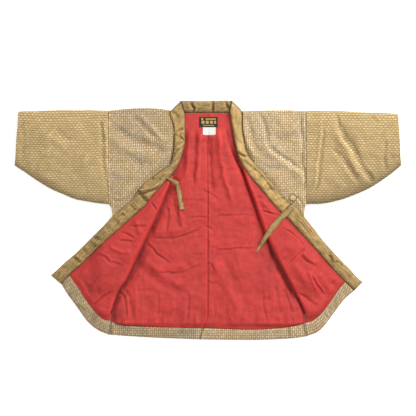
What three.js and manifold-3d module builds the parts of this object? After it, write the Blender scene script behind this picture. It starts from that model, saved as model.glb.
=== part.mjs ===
import * as THREE from 'three';
import Module from 'manifold-3d';

// A wadded short jacket laid open on its back: +X is to the right, +Y towards the neck and
// +Z up from the surface. Every size is in millimetres.

// Heights of the layers, from the surface up.
const CLOTH = 4.6;
const LAYER_GAP = 0.3;
const LINING_BOTTOM = CLOTH + LAYER_GAP;
const WADDED = 9.5;
const BACK_TOP = WADDED;
const LEAF_BOTTOM = BACK_TOP + LAYER_GAP;
const LEAF_TOP = LEAF_BOTTOM + 8.8;
const FLAP_BOTTOM = LEAF_TOP + LAYER_GAP;

// Half the gap between the two edges that meet at a seam.
const SEAM_INSET = 0.2;

// The rounded fold where a front turns back on itself, and the strip inside it where the
// two layers of the outer cloth are one.
const FOLD_ROUND = 7;
const FOLD_JOIN = 8;
const FOLD_OVERLAP = 0.7;

// How a turned-back front comes down from the chest to the surface outside the side seam.
const FALL_START = 20;
const FALL_END = 75;
const LEAF_END_Y = -186;

const COLLAR_THICK = 13;
const SLEEVE_THICK = 19;
const SLEEVE_WALL = 8.2;
const SLEEVE_EDGE = 9;
const TIE_WIDTH = 17.5;
const TIE_THICK = 2.6;
const LABEL_THICK = 1.2;

const CURVE_STEPS = 2;

const looks = {
  sleeve: { color: '#c0a778', roughness: 0.9 },
  body: { color: '#c4ad86', roughness: 0.92 },
  collar: { color: '#b0965f', roughness: 0.88 },
  lining: { color: '#d8504b', roughness: 0.62 },
  label: { color: '#1e1b18', roughness: 0.7 },
  careLabel: { color: '#f1efe9', roughness: 0.75 },
};

// Neck edge of the back panel.
const NECK_Y = 342.6;

// Each side has its own outlines, because a laid-out garment is never quite even.
const sides = {
  left: {
    sign: -1,
    sideX: -311,
    neckX: -84,
    armholeX: -318,
    shoulder: [
      { x: -318, y: 351 }, { x: -270, y: 356 }, { x: -218, y: 358 },
      { x: -165, y: 352 }, { x: -123.5, y: 340 },
    ],
    side: [
      { x: -318, y: 351 }, { x: -318, y: 250 }, { x: -318, y: 150 }, { x: -318, y: 52 },
      { x: -311, y: 42 }, { x: -306, y: 19 }, { x: -311, y: -2 },
    ],
    // Sections across the collar on the chest, from the neck corner down.
    chestCollar: [
      { seamX: -88, seamY: 383, freeX: -75.5, freeY: 343 },
      { seamX: -110, seamY: 360, freeX: -74, freeY: 330 },
      { seamX: -123.5, seamY: 340, freeX: -73.6, freeY: 310 },
      { seamX: -112, seamY: 305, freeX: -73.6, freeY: 277 },
      { seamX: -109, seamY: 262, freeX: -75.5, freeY: 237 },
      { seamX: -110.5, seamY: 219.5, freeX: -86.5, freeY: 196.5 },
      { seamX: -120.5, seamY: 182.5, freeX: -100.5, freeY: 165 },
      { seamX: -142.5, seamY: 165, freeX: -117, freeY: 141 },
      { seamX: -173, seamY: 142.5, freeX: -139, freeY: 118.5 },
      { seamX: -200.5, seamY: 121.5, freeX: -161.5, freeY: 95.5 },
      { seamX: -224, seamY: 97.5, freeX: -189, freeY: 63 },
    ],
    // Sections across the collar on the turned-back front, from the chest down to the hem.
    turnedCollar: [
      { seamX: -189, seamY: 63, freeX: -224, freeY: 97.5 },
      { seamX: -201, seamY: 45.5, freeX: -243, freeY: 66 },
      { seamX: -221, seamY: 27, freeX: -266, freeY: 48 },
      { seamX: -246.5, seamY: 5, freeX: -291, freeY: 25.5 },
      { seamX: -283, seamY: -27.5, freeX: -325, freeY: -9 },
      { seamX: -330, seamY: -70, freeX: -363, freeY: -46 },
      { seamX: -368, seamY: -105, freeX: -400, freeY: -81.5 },
      { seamX: -406, seamY: -142.5, freeX: -437, freeY: -117 },
      { seamX: -444, seamY: -176, freeX: -471.5, freeY: -148 },
      { seamX: -470, seamY: -205, freeX: -504, freeY: -176 },
    ],
    // The fold along which the front is turned back, from the collar to the hem.
    fold: [
      { x: -108, y: 139 }, { x: -128, y: 96 }, { x: -150.5, y: 40 }, { x: -185.5, y: -35 },
      { x: -224, y: -115 }, { x: -259, y: -189 }, { x: -278.5, y: -216 }, { x: -291, y: -240 },
      { x: -306, y: -281.5 }, { x: -312, y: -301 }, { x: -312, y: -322.5 },
    ],
    facing: [
      { x: -312, y: -322.5 }, { x: -337, y: -317 }, { x: -368, y: -286.5 },
      { x: -391.5, y: -256 }, { x: -411, y: -224.5 }, { x: -444, y: -176 },
    ],
    hem: [
      { x: -320.5, y: -366 }, { x: -345.5, y: -356 }, { x: -368, y: -342 },
      { x: -391.5, y: -318.5 }, { x: -420, y: -278.5 }, { x: -451, y: -236 },
      { x: -470, y: -205 },
    ],
    backFacing: [
      { x: -311, y: -324 }, { x: -277, y: -335 }, { x: -185.5, y: -342 }, { x: -13, y: -345.5 },
    ],
    backHem: [
      { x: -320.5, y: -367 }, { x: -250, y: -372 }, { x: -185.5, y: -376 }, { x: -27, y: -382.5 },
    ],
    // Where the visible part of the chest ends, from the armhole to the collar.
    chestLimit: [
      { x: -318, y: 12 }, { x: -266, y: 48 }, { x: -224, y: 98 }, { x: -173, y: 142 },
      { x: -121, y: 182 }, { x: -108, y: 262 },
    ],
    chestFolds: [
      { x1: -299, y1: 334, x2: -212, y2: 236, width: 26, height: 3.4 },
      { x1: -282, y1: 310, x2: -190, y2: 272, width: 15, height: -2.2 },
      { x1: -225, y1: 190, x2: -160, y2: 250, width: 30, height: 2 },
      { x1: -290, y1: 120, x2: -240, y2: 105, width: 24, height: 1.8 },
    ],
    flapFolds: [
      { x1: -290, y1: -42, x2: -205, y2: -78, width: 13, height: 2.6 },
      { x1: -300, y1: -70, x2: -222, y2: -98, width: 12, height: -1.8 },
      { x1: -380, y1: -190, x2: -300, y2: -150, width: 26, height: 2.4 },
      { x1: -330, y1: -250, x2: -285, y2: -205, width: 15, height: -2 },
      { x1: -215, y1: 30, x2: -180, y2: 60, width: 12, height: -1.6 },
    ],
    sleeve: [
      { topX: -318, topY: 351, bottomX: -318, bottomY: 51 },
      { topX: -366, topY: 353, bottomX: -366, bottomY: 56 },
      { topX: -420, topY: 353, bottomX: -423, bottomY: 67 },
      { topX: -474, topY: 353, bottomX: -478, bottomY: 88 },
      { topX: -520, topY: 352, bottomX: -526, bottomY: 112 },
      { topX: -564, topY: 350, bottomX: -572, bottomY: 143 },
      { topX: -606, topY: 349, bottomX: -618.5, bottomY: 174 },
    ],
    sleeveFolds: [
      { x1: -336, y1: 320, x2: -336, y2: 70, width: 9, height: -3 },
      { x1: -356, y1: 330, x2: -356, y2: 90, width: 10, height: 1.6 },
      { x1: -430, y1: 300, x2: -380, y2: 180, width: 26, height: 1.8 },
      { x1: -560, y1: 200, x2: -470, y2: 130, width: 24, height: 1.8 },
    ],
    rollStartY: 270,
    rollEndY: 196,
    fallStartRow: 7,
  },
  right: {
    sign: 1,
    sideX: 311,
    neckX: 84,
    armholeX: 314,
    shoulder: [
      { x: 314, y: 350 }, { x: 262, y: 351 }, { x: 210, y: 351 },
      { x: 158, y: 350 }, { x: 109, y: 345 },
    ],
    side: [
      { x: 314, y: 350 }, { x: 314, y: 250 }, { x: 314, y: 150 }, { x: 314, y: 52 },
      { x: 311, y: 42 }, { x: 309, y: 19 }, { x: 311, y: -2 },
    ],
    chestCollar: [
      { seamX: 76.5, seamY: 383.5, freeX: 70, freeY: 343 },
      { seamX: 96, seamY: 365.5, freeX: 71.5, freeY: 329.5 },
      { seamX: 109, seamY: 346, freeX: 74.5, freeY: 312 },
      { seamX: 110, seamY: 307, freeX: 79.5, freeY: 281.5 },
      { seamX: 114, seamY: 265.5, freeX: 86.5, freeY: 246.5 },
      { seamX: 123.5, seamY: 221, freeX: 97.5, freeY: 205 },
      { seamX: 146, seamY: 185.5, freeX: 114.5, freeY: 168 },
      { seamX: 174.5, seamY: 157, freeX: 140, freeY: 131 },
      { seamX: 203, seamY: 121.5, freeX: 169.5, freeY: 96 },
      { seamX: 231.5, seamY: 85, freeX: 200, freeY: 59 },
      { seamX: 267, seamY: 54.5, freeX: 234.5, freeY: 21 },
    ],
    turnedCollar: [
      { seamX: 234.5, seamY: 21, freeX: 267, freeY: 54.5 },
      { seamX: 254.5, seamY: 2.5, freeX: 289, freeY: 35 },
      { seamX: 278.5, seamY: -23.5, freeX: 310.5, freeY: 8 },
      { seamX: 306, seamY: -53, freeX: 341, freeY: -29 },
      { seamX: 334.5, seamY: -84, freeX: 369.5, freeY: -65.5 },
      { seamX: 362.5, seamY: -115, freeX: 398.5, freeY: -98 },
      { seamX: 388, seamY: -144, freeX: 427, freeY: -129 },
      { seamX: 413, seamY: -171, freeX: 453, freeY: -156 },
      { seamX: 439, seamY: -197.5, freeX: 474.5, freeY: -178.5 },
      { seamX: 469, seamY: -226, freeX: 496.5, freeY: -198 },
    ],
    fold: [
      { x: 114, y: 157 }, { x: 128, y: 115 }, { x: 147, y: 64 }, { x: 168, y: 3 },
      { x: 192, y: -61 }, { x: 224, y: -128 }, { x: 256, y: -189 }, { x: 275, y: -224 },
      { x: 291, y: -253 }, { x: 305, y: -281.5 }, { x: 312, y: -301 }, { x: 312, y: -328 },
    ],
    facing: [
      { x: 312, y: -328 }, { x: 333, y: -323 }, { x: 362.5, y: -299 },
      { x: 392, y: -261 }, { x: 414.5, y: -227 }, { x: 439, y: -197.5 },
    ],
    hem: [
      { x: 319, y: -371 }, { x: 345, y: -362 }, { x: 362.5, y: -350.5 }, { x: 383, y: -326.5 },
      { x: 406.5, y: -294.5 }, { x: 436, y: -256 }, { x: 469, y: -226 },
    ],
    backFacing: [
      { x: 311, y: -329.5 }, { x: 261, y: -342 }, { x: 186.5, y: -349 }, { x: 119.5, y: -350.5 },
      { x: -13, y: -345.5 },
    ],
    backHem: [
      { x: 319, y: -372 }, { x: 267.5, y: -379 }, { x: 186.5, y: -383 }, { x: 118.5, y: -384 },
      { x: -27, y: -382.5 },
    ],
    chestLimit: [
      { x: 112, y: 262 }, { x: 123.5, y: 221 }, { x: 146, y: 185 }, { x: 174.5, y: 157 },
      { x: 203, y: 121 }, { x: 231.5, y: 85 }, { x: 267, y: 56 }, { x: 314, y: 8 },
    ],
    chestFolds: [
      { x1: 180, y1: 325, x2: 189, y2: 248, width: 12, height: -2.6 },
      { x1: 189, y1: 248, x2: 283, y2: 168, width: 12, height: -3 },
      { x1: 134, y1: 276, x2: 174, y2: 248, width: 14, height: -2 },
      { x1: 220, y1: 231, x2: 306, y2: 139, width: 17, height: 3.6 },
      { x1: 150, y1: 300, x2: 150, y2: 222, width: 16, height: 2.6 },
      { x1: 215, y1: 320, x2: 268, y2: 262, width: 24, height: 2.4 },
      { x1: 298, y1: 330, x2: 302, y2: 200, width: 8, height: -2.4 },
    ],
    flapFolds: [
      { x1: 326, y1: -171, x2: 378, y2: -242, width: 12, height: -2.6 },
      { x1: 342, y1: -150, x2: 396, y2: -222, width: 14, height: 2.4 },
      { x1: 300, y1: -175, x2: 345, y2: -262, width: 16, height: 2 },
      { x1: 172, y1: 60, x2: 220, y2: 34, width: 12, height: 1.8 },
      { x1: 190, y1: 10, x2: 238, y2: -6, width: 10, height: -1.6 },
      { x1: 244, y1: -60, x2: 300, y2: -110, width: 18, height: 1.8 },
    ],
    sleeve: [
      { topX: 314, topY: 350, bottomX: 314, bottomY: 52 },
      { topX: 364, topY: 351, bottomX: 364, bottomY: 52 },
      { topX: 415, topY: 351, bottomX: 412, bottomY: 61 },
      { topX: 466, topY: 349, bottomX: 464, bottomY: 79 },
      { topX: 516, topY: 346, bottomX: 516, bottomY: 102 },
      { topX: 562, topY: 344, bottomX: 566, bottomY: 133 },
      { topX: 609, topY: 341, bottomX: 618.5, bottomY: 174 },
    ],
    sleeveFolds: [
      { x1: 408, y1: 335, x2: 422, y2: 318, width: 10, height: -2.6 },
      { x1: 422, y1: 318, x2: 518, y2: 165, width: 12, height: -3 },
      { x1: 397, y1: 288, x2: 534, y2: 125, width: 13, height: 2.8 },
      { x1: 422, y1: 214, x2: 500, y2: 112, width: 12, height: -2.2 },
      { x1: 368, y1: 333, x2: 339, y2: 91, width: 8, height: -2 },
      { x1: 573, y1: 200, x2: 573, y2: 145, width: 8, height: -1.6 },
    ],
    rollStartY: 270,
    rollEndY: 214,
    fallStartRow: 6,
  },
};

// The larger folds in the back lining, between the two fronts.
const backFolds = [
  { x1: -184, y1: -57.5, x2: -116, y2: -54, width: 10, height: -2.2 },
  { x1: -116, y1: -54, x2: -39, y2: -34, width: 9, height: -2.2 },
  { x1: -150, y1: -38, x2: -60, y2: -16, width: 18, height: 2.2 },
  { x1: -194, y1: -80, x2: -123, y2: -141, width: 12, height: -2 },
  { x1: -217, y1: -165, x2: -83, y2: -232, width: 18, height: 2.6 },
  { x1: -164, y1: -165, x2: -83, y2: -170, width: 10, height: -2 },
  { x1: -83, y1: -170, x2: -22, y2: -141, width: 10, height: -2 },
  { x1: -74, y1: 59, x2: 0, y2: 59, width: 9, height: -1.6 },
  { x1: 0, y1: 59, x2: 72, y2: 30, width: 10, height: -1.8 },
  { x1: 25, y1: -91, x2: 156, y2: -94, width: 9, height: -1.8 },
  { x1: 25, y1: -128, x2: 118, y2: -323, width: 22, height: 2.8 },
  { x1: 60, y1: -120, x2: 150, y2: -300, width: 14, height: -1.6 },
  { x1: 220, y1: -115, x2: 234, y2: -226, width: 16, height: 2 },
  { x1: 61, y1: 336, x2: 67, y2: 224, width: 9, height: -2 },
  { x1: -69, y1: 225, x2: -46, y2: 111, width: 12, height: 2.4 },
  { x1: 0, y1: 270, x2: 0, y2: -310, width: 6, height: -2.2 },
];

const neckCollar = [
  { x: -88, top: 383, foot: 343, footX: -75.5 },
  { x: -58, top: 384.5, foot: 343, footX: -52 },
  { x: -22, top: 383.5, foot: 343, footX: -20 },
  { x: 12, top: 384, foot: 343, footX: 12 },
  { x: 46, top: 384, foot: 343, footX: 42 },
  { x: 76.5, top: 383.5, foot: 343, footX: 70 },
];

const neckFolds = [
  { x1: -50, y1: 374, x2: -49, y2: 344, width: 4, height: -2 },
  { x1: 16, y1: 378, x2: 17, y2: 344, width: 4, height: -1.6 },
  { x1: -20, y1: 370, x2: -18, y2: 352, width: 8, height: 1.2 },
];

// The ties: middle of the ribbon, how wide it looks and how high it lies.
const ties = {
  left: [
    { x: -127, y: 128, lift: 27.8, width: 5 },
    { x: -117, y: 124, lift: 28.2, width: 10 },
    { x: -106, y: 117, lift: 26.4, width: 14 },
    { x: -98, y: 105, lift: 20.5, width: 16 },
    { x: -93, y: 90, lift: 14.4, width: 17 },
    { x: -87, y: 64, lift: 11.6, width: 17 },
    { x: -79, y: 33, lift: 11.2, width: 17.5 },
  ],
  right: [
    { x: 262, y: 46, lift: 31.8, width: 18 },
    { x: 250, y: 33, lift: 32.4, width: 19 },
    { x: 236, y: 20, lift: 32.4, width: 20 },
    { x: 222, y: 4, lift: 31.4, width: 20 },
    { x: 204, y: -20, lift: 30.6, width: 19 },
    { x: 188, y: -45, lift: 28, width: 17 },
    { x: 173, y: -70, lift: 18, width: 13 },
    { x: 162, y: -90, lift: 12.2, width: 9 },
    { x: 155, y: -102, lift: 11.2, width: 4 },
  ],
};

const labels = [
  { name: 'label', look: 'label', x: 1.8, y: 314, width: 59, depth: 32 },
  { name: 'care_label', look: 'careLabel', x: 4, y: 284.5, width: 41, depth: 25.5 },
];

const wasm = await Module();
wasm.setup();

function smoothstep(from, to, value) {
  const t = Math.min(Math.max((value - from) / (to - from), 0), 1);
  return t * t * (3 - 2 * t);
}

function blend(a, b, t) {
  return { x: a.x + (b.x - a.x) * t, y: a.y + (b.y - a.y) * t };
}

function spacing(a, b) {
  return Math.hypot(b.x - a.x, b.y - a.y);
}

// A smooth line through the points, with the same number of steps between each two.
function smooth(points, steps = CURVE_STEPS) {
  const through = points.map((point) => new THREE.Vector3(point.x, point.y, 0));
  const line = new THREE.CatmullRomCurve3(through, false, 'centripetal');
  const last = (points.length - 1) * steps;
  return Array.from({ length: last + 1 }, (_, i) => {
    const at = line.getPoint(i / last);
    return { x: at.x, y: at.y };
  });
}

function lengths(points) {
  const run = [0];
  for (let i = 1; i < points.length; i += 1) {
    run.push(run[i - 1] + spacing(points[i - 1], points[i]));
  }
  return run;
}

// The point at a share of the way along a line.
function along(points, share) {
  const run = lengths(points);
  const want = Math.min(Math.max(share, 0), 1) * run[run.length - 1];
  let i = 1;
  while (i < points.length - 1 && run[i] < want) i += 1;
  return blend(points[i - 1], points[i], (want - run[i - 1]) / (run[i] - run[i - 1]));
}

function resample(points, count, start = 0) {
  const share = (i) => start + ((1 - start) * i) / (count - 1);
  return Array.from({ length: count }, (_, i) => along(points, share(i)));
}

// The other coordinate of a line where one coordinate has the given value.
function crossing(points, key, other, value) {
  for (let i = 1; i < points.length; i += 1) {
    const a = points[i - 1];
    const b = points[i];
    if ((value - a[key]) * (value - b[key]) <= 0 && a[key] !== b[key]) {
      return a[other] + (b[other] - a[other]) * (value - a[key]) / (b[key] - a[key]);
    }
  }
  const ends = [points[0], points[points.length - 1]];
  ends.sort((a, b) => Math.abs(a[key] - value) - Math.abs(b[key] - value));
  return ends[0][other];
}

function segmentDistance(point, fold) {
  const dx = fold.x2 - fold.x1;
  const dy = fold.y2 - fold.y1;
  const share = ((point.x - fold.x1) * dx + (point.y - fold.y1) * dy) / (dx * dx + dy * dy);
  const t = Math.min(Math.max(share, 0), 1);
  return Math.hypot(point.x - fold.x1 - t * dx, point.y - fold.y1 - t * dy);
}

// Height of a set of soft ridges and troughs at a point.
function foldHeight(point, folds) {
  let height = 0;
  for (const fold of folds) {
    height += fold.height * Math.exp(-((segmentDistance(point, fold) / fold.width) ** 2));
  }
  return height;
}

// Quarter-round that rises from 0 at an edge to 1 at the given distance inside it.
function quarterRound(distance, radius) {
  const t = Math.min(distance / radius, 1);
  return Math.sqrt(1 - (1 - t) ** 2);
}

// A row of points from near to far: close together by the two edges, even between them.
function rowPoints(near, far, nearSteps, count, farSteps) {
  const width = spacing(near, far);
  const scale = Math.min(1, (width * 0.9) / (nearSteps.at(-1) + farSteps.at(-1)));
  const start = (nearSteps.at(-1) * scale) / width;
  const end = 1 - (farSteps.at(-1) * scale) / width;
  const shares = nearSteps.map((step) => (step * scale) / width);
  for (let i = 1; i < count; i += 1) shares.push(start + ((end - start) * i) / count);
  for (const step of [...farSteps].reverse()) shares.push(1 - (step * scale) / width);
  return shares.map((share) => ({ share, ...blend(near, far, share) }));
}

// A grid between two matched lines; the first and last rows may follow curved lines.
function panelGrid({ near, far, first, last, nearSteps, farSteps, columns }) {
  const rows = near.map((point, i) => rowPoints(point, far[i], nearSteps, columns, farSteps));
  const end = rows.length - 1;
  return rows.map((row, i) => row.map(({ x, y, share }, j) => {
    const point = { x, y };
    const bends = [
      [first, rows[0][j], 1 - i / end],
      [last, rows[end][j], i / end],
    ];
    for (const [line, straight, weight] of bends) {
      if (line) {
        const onLine = along(line, straight.share);
        point.x += weight * (onLine.x - straight.x);
        point.y += weight * (onLine.y - straight.y);
      }
    }
    return { ...point, share };
  }));
}

// Extra rows close to a chosen row, so that its edge can be rounded or stepped.
function insertRows(grid, at, towards, distances) {
  const added = distances.map((distance) => grid[at].map((point, j) => {
    const next = grid[towards][j];
    const share = Math.min(distance / spacing(point, next), 0.9);
    return { ...blend(point, next, share), share: point.share };
  }));
  const result = [...grid];
  if (towards > at) result.splice(at + 1, 0, ...added);
  else result.splice(at, 0, ...added.reverse());
  return result;
}

// Draws the edges of a grid in by a seam's share of the gap.
function drawIn(grid, { first = 0, last = 0, near = 0, far = 0 }) {
  const end = grid.length - 1;
  const side = grid[0].length - 1;
  const moved = grid.map((row) => row.map((point) => ({ ...point })));
  const shift = (point, next, distance) => {
    const share = distance / spacing(point, next);
    Object.assign(point, blend(point, next, share));
  };
  for (let i = 0; i <= end; i += 1) {
    shift(moved[i][0], grid[i][1], near);
    shift(moved[i][side], grid[i][side - 1], far);
  }
  for (let j = 0; j <= side; j += 1) {
    shift(moved[0][j], grid[1][j], first);
    shift(moved[end][j], grid[end - 1][j], last);
  }
  return moved;
}

// Distance of each grid point from the edges that are rounded.
function edgeDistances(grid, edges) {
  const end = grid.length - 1;
  const side = grid[0].length - 1;
  const rowRuns = grid.map((row) => lengths(row));
  const columnRuns = grid[0].map((_, j) => lengths(grid.map((row) => row[j])));
  return grid.map((row, i) => row.map((_, j) => {
    const options = [Infinity];
    if (edges.near) options.push(rowRuns[i][j]);
    if (edges.far) options.push(rowRuns[i][side] - rowRuns[i][j]);
    if (edges.first) options.push(columnRuns[j][i]);
    if (edges.last) options.push(columnRuns[j][end] - columnRuns[j][i]);
    return Math.min(...options);
  }));
}

function gridTurn(grid) {
  const a = grid[0][0];
  const b = grid[0].at(-1);
  const c = grid.at(-1)[0];
  return Math.sign((b.x - a.x) * (c.y - a.y) - (b.y - a.y) * (c.x - a.x));
}

// A closed solid between two heights over a grid, as a manifold.
function slab(grid, bottom, top) {
  const rows = grid.length;
  const columns = grid[0].length;
  const corners = [];
  for (const heights of [bottom, top]) {
    grid.forEach((row, i) => row.forEach((point, j) => {
      corners.push(point.x, point.y, heights(point, i, j));
    }));
  }
  const index = (layer, i, j) => layer * rows * columns + i * columns + j;
  const faces = [];
  const quad = (a, b, c, d) => faces.push(a, b, c, a, c, d);
  for (let i = 0; i < rows - 1; i += 1) {
    for (let j = 0; j < columns - 1; j += 1) {
      quad(index(0, i, j), index(0, i + 1, j), index(0, i + 1, j + 1), index(0, i, j + 1));
      quad(index(1, i, j), index(1, i, j + 1), index(1, i + 1, j + 1), index(1, i + 1, j));
    }
  }
  for (let i = 0; i < rows - 1; i += 1) {
    quad(index(0, i, 0), index(1, i, 0), index(1, i + 1, 0), index(0, i + 1, 0));
    const j = columns - 1;
    quad(index(0, i, j), index(0, i + 1, j), index(1, i + 1, j), index(1, i, j));
  }
  for (let j = 0; j < columns - 1; j += 1) {
    quad(index(0, 0, j), index(0, 0, j + 1), index(1, 0, j + 1), index(1, 0, j));
    const i = rows - 1;
    quad(index(0, i, j), index(1, i, j), index(1, i, j + 1), index(0, i, j + 1));
  }
  if (gridTurn(grid) < 0) faces.reverse();
  return new wasm.Manifold(new wasm.Mesh({
    numProp: 3,
    vertProperties: new Float32Array(corners),
    triVerts: new Uint32Array(faces),
  }));
}

const group = new THREE.Group();
group.name = 'hanten';

function add(name, look, solid) {
  const mesh = solid.getMesh();
  const geometry = new THREE.BufferGeometry();
  geometry.setAttribute('position', new THREE.BufferAttribute(mesh.vertProperties, 3));
  geometry.setIndex(new THREE.BufferAttribute(mesh.triVerts, 1));
  geometry.computeVertexNormals();
  const material = new THREE.MeshStandardMaterial({ ...looks[look], metalness: 0 });
  const piece = new THREE.Mesh(geometry, material);
  piece.name = name;
  group.add(piece);
}

function seamLine(sections) {
  return smooth(sections.map((row) => ({ x: row.seamX, y: row.seamY })));
}

function freeLine(sections) {
  return smooth(sections.map((row) => ({ x: row.freeX, y: row.freeY })));
}

// Height of the underside of a turned-back front.
function flapBottom(side, point) {
  const outside = (point.x - side.sideX) * side.sign;
  const across = 1 - smoothstep(FALL_START, FALL_END, outside);
  const overChest = FLAP_BOTTOM - LEAF_BOTTOM;
  const over = overChest * smoothstep(-250, LEAF_END_Y - 9, point.y)
    + LEAF_BOTTOM * smoothstep(-320, -282, point.y);
  return over * across;
}

// Height of the underside of the collar on the chest: it comes up from the surface over
// the neck edge, and rolls on to the chest where the front starts to turn back.
function chestCollarBottom(side, point) {
  const overNeck = LEAF_BOTTOM * (1 - smoothstep(NECK_Y + 14, 380, point.y));
  const roll = 1 - smoothstep(side.rollEndY, side.rollStartY, point.y);
  return overNeck + (FLAP_BOTTOM - LEAF_BOTTOM) * roll;
}

function collarBand(grid, bottom, folds = []) {
  const distance = edgeDistances(grid, { near: true, far: true });
  const under = (point, i, j) => bottom(point) + 2.4 * (1 - quarterRound(distance[i][j], 5));
  const over = (point, i, j) => {
    const puff = quarterRound(distance[i][j], 15);
    return bottom(point) + 4.4 + (COLLAR_THICK - 4.4) * puff + foldHeight(point, folds);
  };
  return slab(grid, under, over);
}

const COLLAR_STEPS = [0, 2.5, 8];

function makeCollar(name, side) {
  const chest = panelGrid({
    near: seamLine(side.chestCollar),
    far: freeLine(side.chestCollar),
    nearSteps: COLLAR_STEPS,
    farSteps: COLLAR_STEPS,
    columns: 2,
  });
  const turned = panelGrid({
    near: seamLine(side.turnedCollar),
    far: freeLine(side.turnedCollar),
    nearSteps: COLLAR_STEPS,
    farSteps: COLLAR_STEPS,
    columns: 2,
  });
  const edges = { first: SEAM_INSET, last: SEAM_INSET, near: SEAM_INSET, far: SEAM_INSET };
  add(`collar_${name}`, 'collar',
    collarBand(drawIn(chest, edges), (point) => chestCollarBottom(side, point)));
  add(`collar_${name}_turned`, 'collar',
    collarBand(drawIn(turned, edges), (point) => flapBottom(side, point)));
}

function makeNeckCollar() {
  const grid = panelGrid({
    near: smooth(neckCollar.map((row) => ({ x: row.footX, y: row.foot }))),
    far: smooth(neckCollar.map((row) => ({ x: row.x, y: row.top }))),
    nearSteps: COLLAR_STEPS,
    farSteps: COLLAR_STEPS,
    columns: 2,
  });
  const edges = { first: SEAM_INSET, last: SEAM_INSET, near: SEAM_INSET, far: SEAM_INSET };
  add('collar_back', 'collar', collarBand(drawIn(grid, edges), () => 0, neckFolds));
}

function backGrid(side, rows, columns, inset) {
  const neck = [{ x: side.neckX, y: NECK_Y }, { x: 0, y: NECK_Y }];
  const facing = smooth(side.backFacing, 4);
  return panelGrid({
    near: resample([...side.side, { x: side.sideX, y: side.backFacing[0].y }], rows)
      .map(({ x, y }) => ({ x: x - side.sign * inset, y })),
    far: resample([{ x: 0, y: NECK_Y }, { x: 0, y: -312 }, { x: -13, y: -345.5 }], rows),
    first: [...smooth(side.shoulder), ...neck],
    last: resample(facing, 24, inset / lengths(facing).at(-1)),
    nearSteps: [0, 3, 8.4],
    farSteps: [0, 6],
    columns,
  });
}

function makeBack(name, side) {
  const base = backGrid(side, 9, 9, SEAM_INSET);
  const hem = smooth(side.backHem, 4);
  const hemRow = base.at(-1).map((point) => ({ ...along(hem, point.share), share: point.share }));
  let outer = insertRows([...base, hemRow], 9, 8, [3, 10]);
  outer = insertRows(outer, 8, 9, [0.5]);
  outer = insertRows(outer, 0, 1, [3, 9]);
  const hemStart = outer.length - 4;
  outer = drawIn(outer, { far: SEAM_INSET });
  const edge = edgeDistances(outer, { first: true, near: true, last: true });
  const gathers = (point) => 0.7 * Math.sin(point.x / 11) * Math.sin(point.x / 37 + 1);
  add(`back_${name}`, 'body', slab(outer,
    (point, i, j) => (i >= hemStart ? 2 * (1 - quarterRound(edge[i][j], 6)) : 0),
    (point, i, j) => {
      if (i < hemStart) return CLOTH - 1.6 * (1 - quarterRound(edge[i][j], 8));
      const puff = quarterRound(edge[i][j], 10);
      return 4.2 + (WADDED - 4.2) * puff + gathers(point) * puff;
    }));

  const inside = { far: SEAM_INSET, first: 3, last: 0.9 };
  const lining = insertRows(drawIn(backGrid(side, 20, 10, 8), inside), 0, 1, [6]);
  const liningEdge = edgeDistances(lining, { last: true, near: true });
  add(`back_lining_${name}`, 'lining', slab(lining,
    () => LINING_BOTTOM,
    (point, i, j) => {
      const rounded = 1.6 * (1 - quarterRound(liningEdge[i][j], 7));
      return BACK_TOP - rounded + backRelief(point);
    }));
}

// Folds and padding of the back lining, only where neither front covers it.
function backRelief(point) {
  const leftLimit = crossing([...sides.left.chestCollar.slice(0, 8)
    .map((row) => ({ x: row.freeX, y: row.freeY })), ...sides.left.fold.slice(1)], 'y', 'x', point.y);
  const rightLimit = crossing([...sides.right.chestCollar.slice(0, 7)
    .map((row) => ({ x: row.freeX, y: row.freeY })), ...sides.right.fold.slice(1)], 'y', 'x', point.y);
  const inside = Math.min(point.x - leftLimit, rightLimit - point.x);
  const bare = smoothstep(27, 64, inside)
    * smoothstep(-343, -318, point.y) * (1 - smoothstep(235, 262, point.y));
  return bare * Math.min(1.2 + foldHeight(point, backFolds), 3.2);
}

// The chest and the turned-back lower part of a front are one cloth, joined at the fold.
function makeFront(name, side) {
  const foldLine = smooth(side.fold);
  const band = [...freeLine(side.chestCollar).slice(side.fallStartRow * CURVE_STEPS),
    ...seamLine(side.turnedCollar).slice(1, -CURVE_STEPS)];
  const bandRun = lengths(band);
  const flap = panelGrid({
    near: band.map((_, i) => along(foldLine, bandRun[i] / bandRun.at(-1))),
    far: band,
    last: smooth(side.facing, 4),
    nearSteps: [0, 2.4, FOLD_ROUND, FOLD_ROUND + 0.4, FOLD_ROUND + FOLD_JOIN],
    farSteps: [0, 3, 8],
    columns: 7,
  });
  makeFlapLining(name, side, flap);
  add(`front_${name}`, 'body', chestLeaf(side, flap).add(flapOuter(side, flap)));
}

function chestLeaf(side, flap) {
  const chestSeam = seamLine(side.chestCollar).slice(4, 13);
  const foldEdge = flap.map((row) => row[3]).filter(({ y }) => y > LEAF_END_Y);
  const far = [...chestSeam, ...foldEdge];
  const sideLine = [...side.side, { x: side.sideX, y: LEAF_END_Y }];
  const near = far.map((point, i) => along(sideLine, (i / (far.length - 1)) ** 1.3));
  let leaf = panelGrid({
    near, far, first: smooth(side.shoulder), nearSteps: [0, 3, 9], farSteps: [0, 3, 9], columns: 6,
  });
  leaf = insertRows(leaf, 0, 1, [3, 8]);
  leaf = drawIn(leaf, { near: SEAM_INSET, far: SEAM_INSET, first: SEAM_INSET });
  const edge = edgeDistances(leaf, { first: true, near: true, far: true });
  return slab(leaf, () => LEAF_BOTTOM, (point, i, j) => {
    const clear = point.y - crossing(side.chestLimit, 'x', 'y', point.x);
    const bare = smoothstep(27, 64, clear);
    const rounded = 4 * (1 - quarterRound(edge[i][j], 9)) * smoothstep(-4, 14, clear);
    return LEAF_TOP - rounded + bare * Math.min(1.5 + foldHeight(point, side.chestFolds), 5.2);
  });
}

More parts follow.
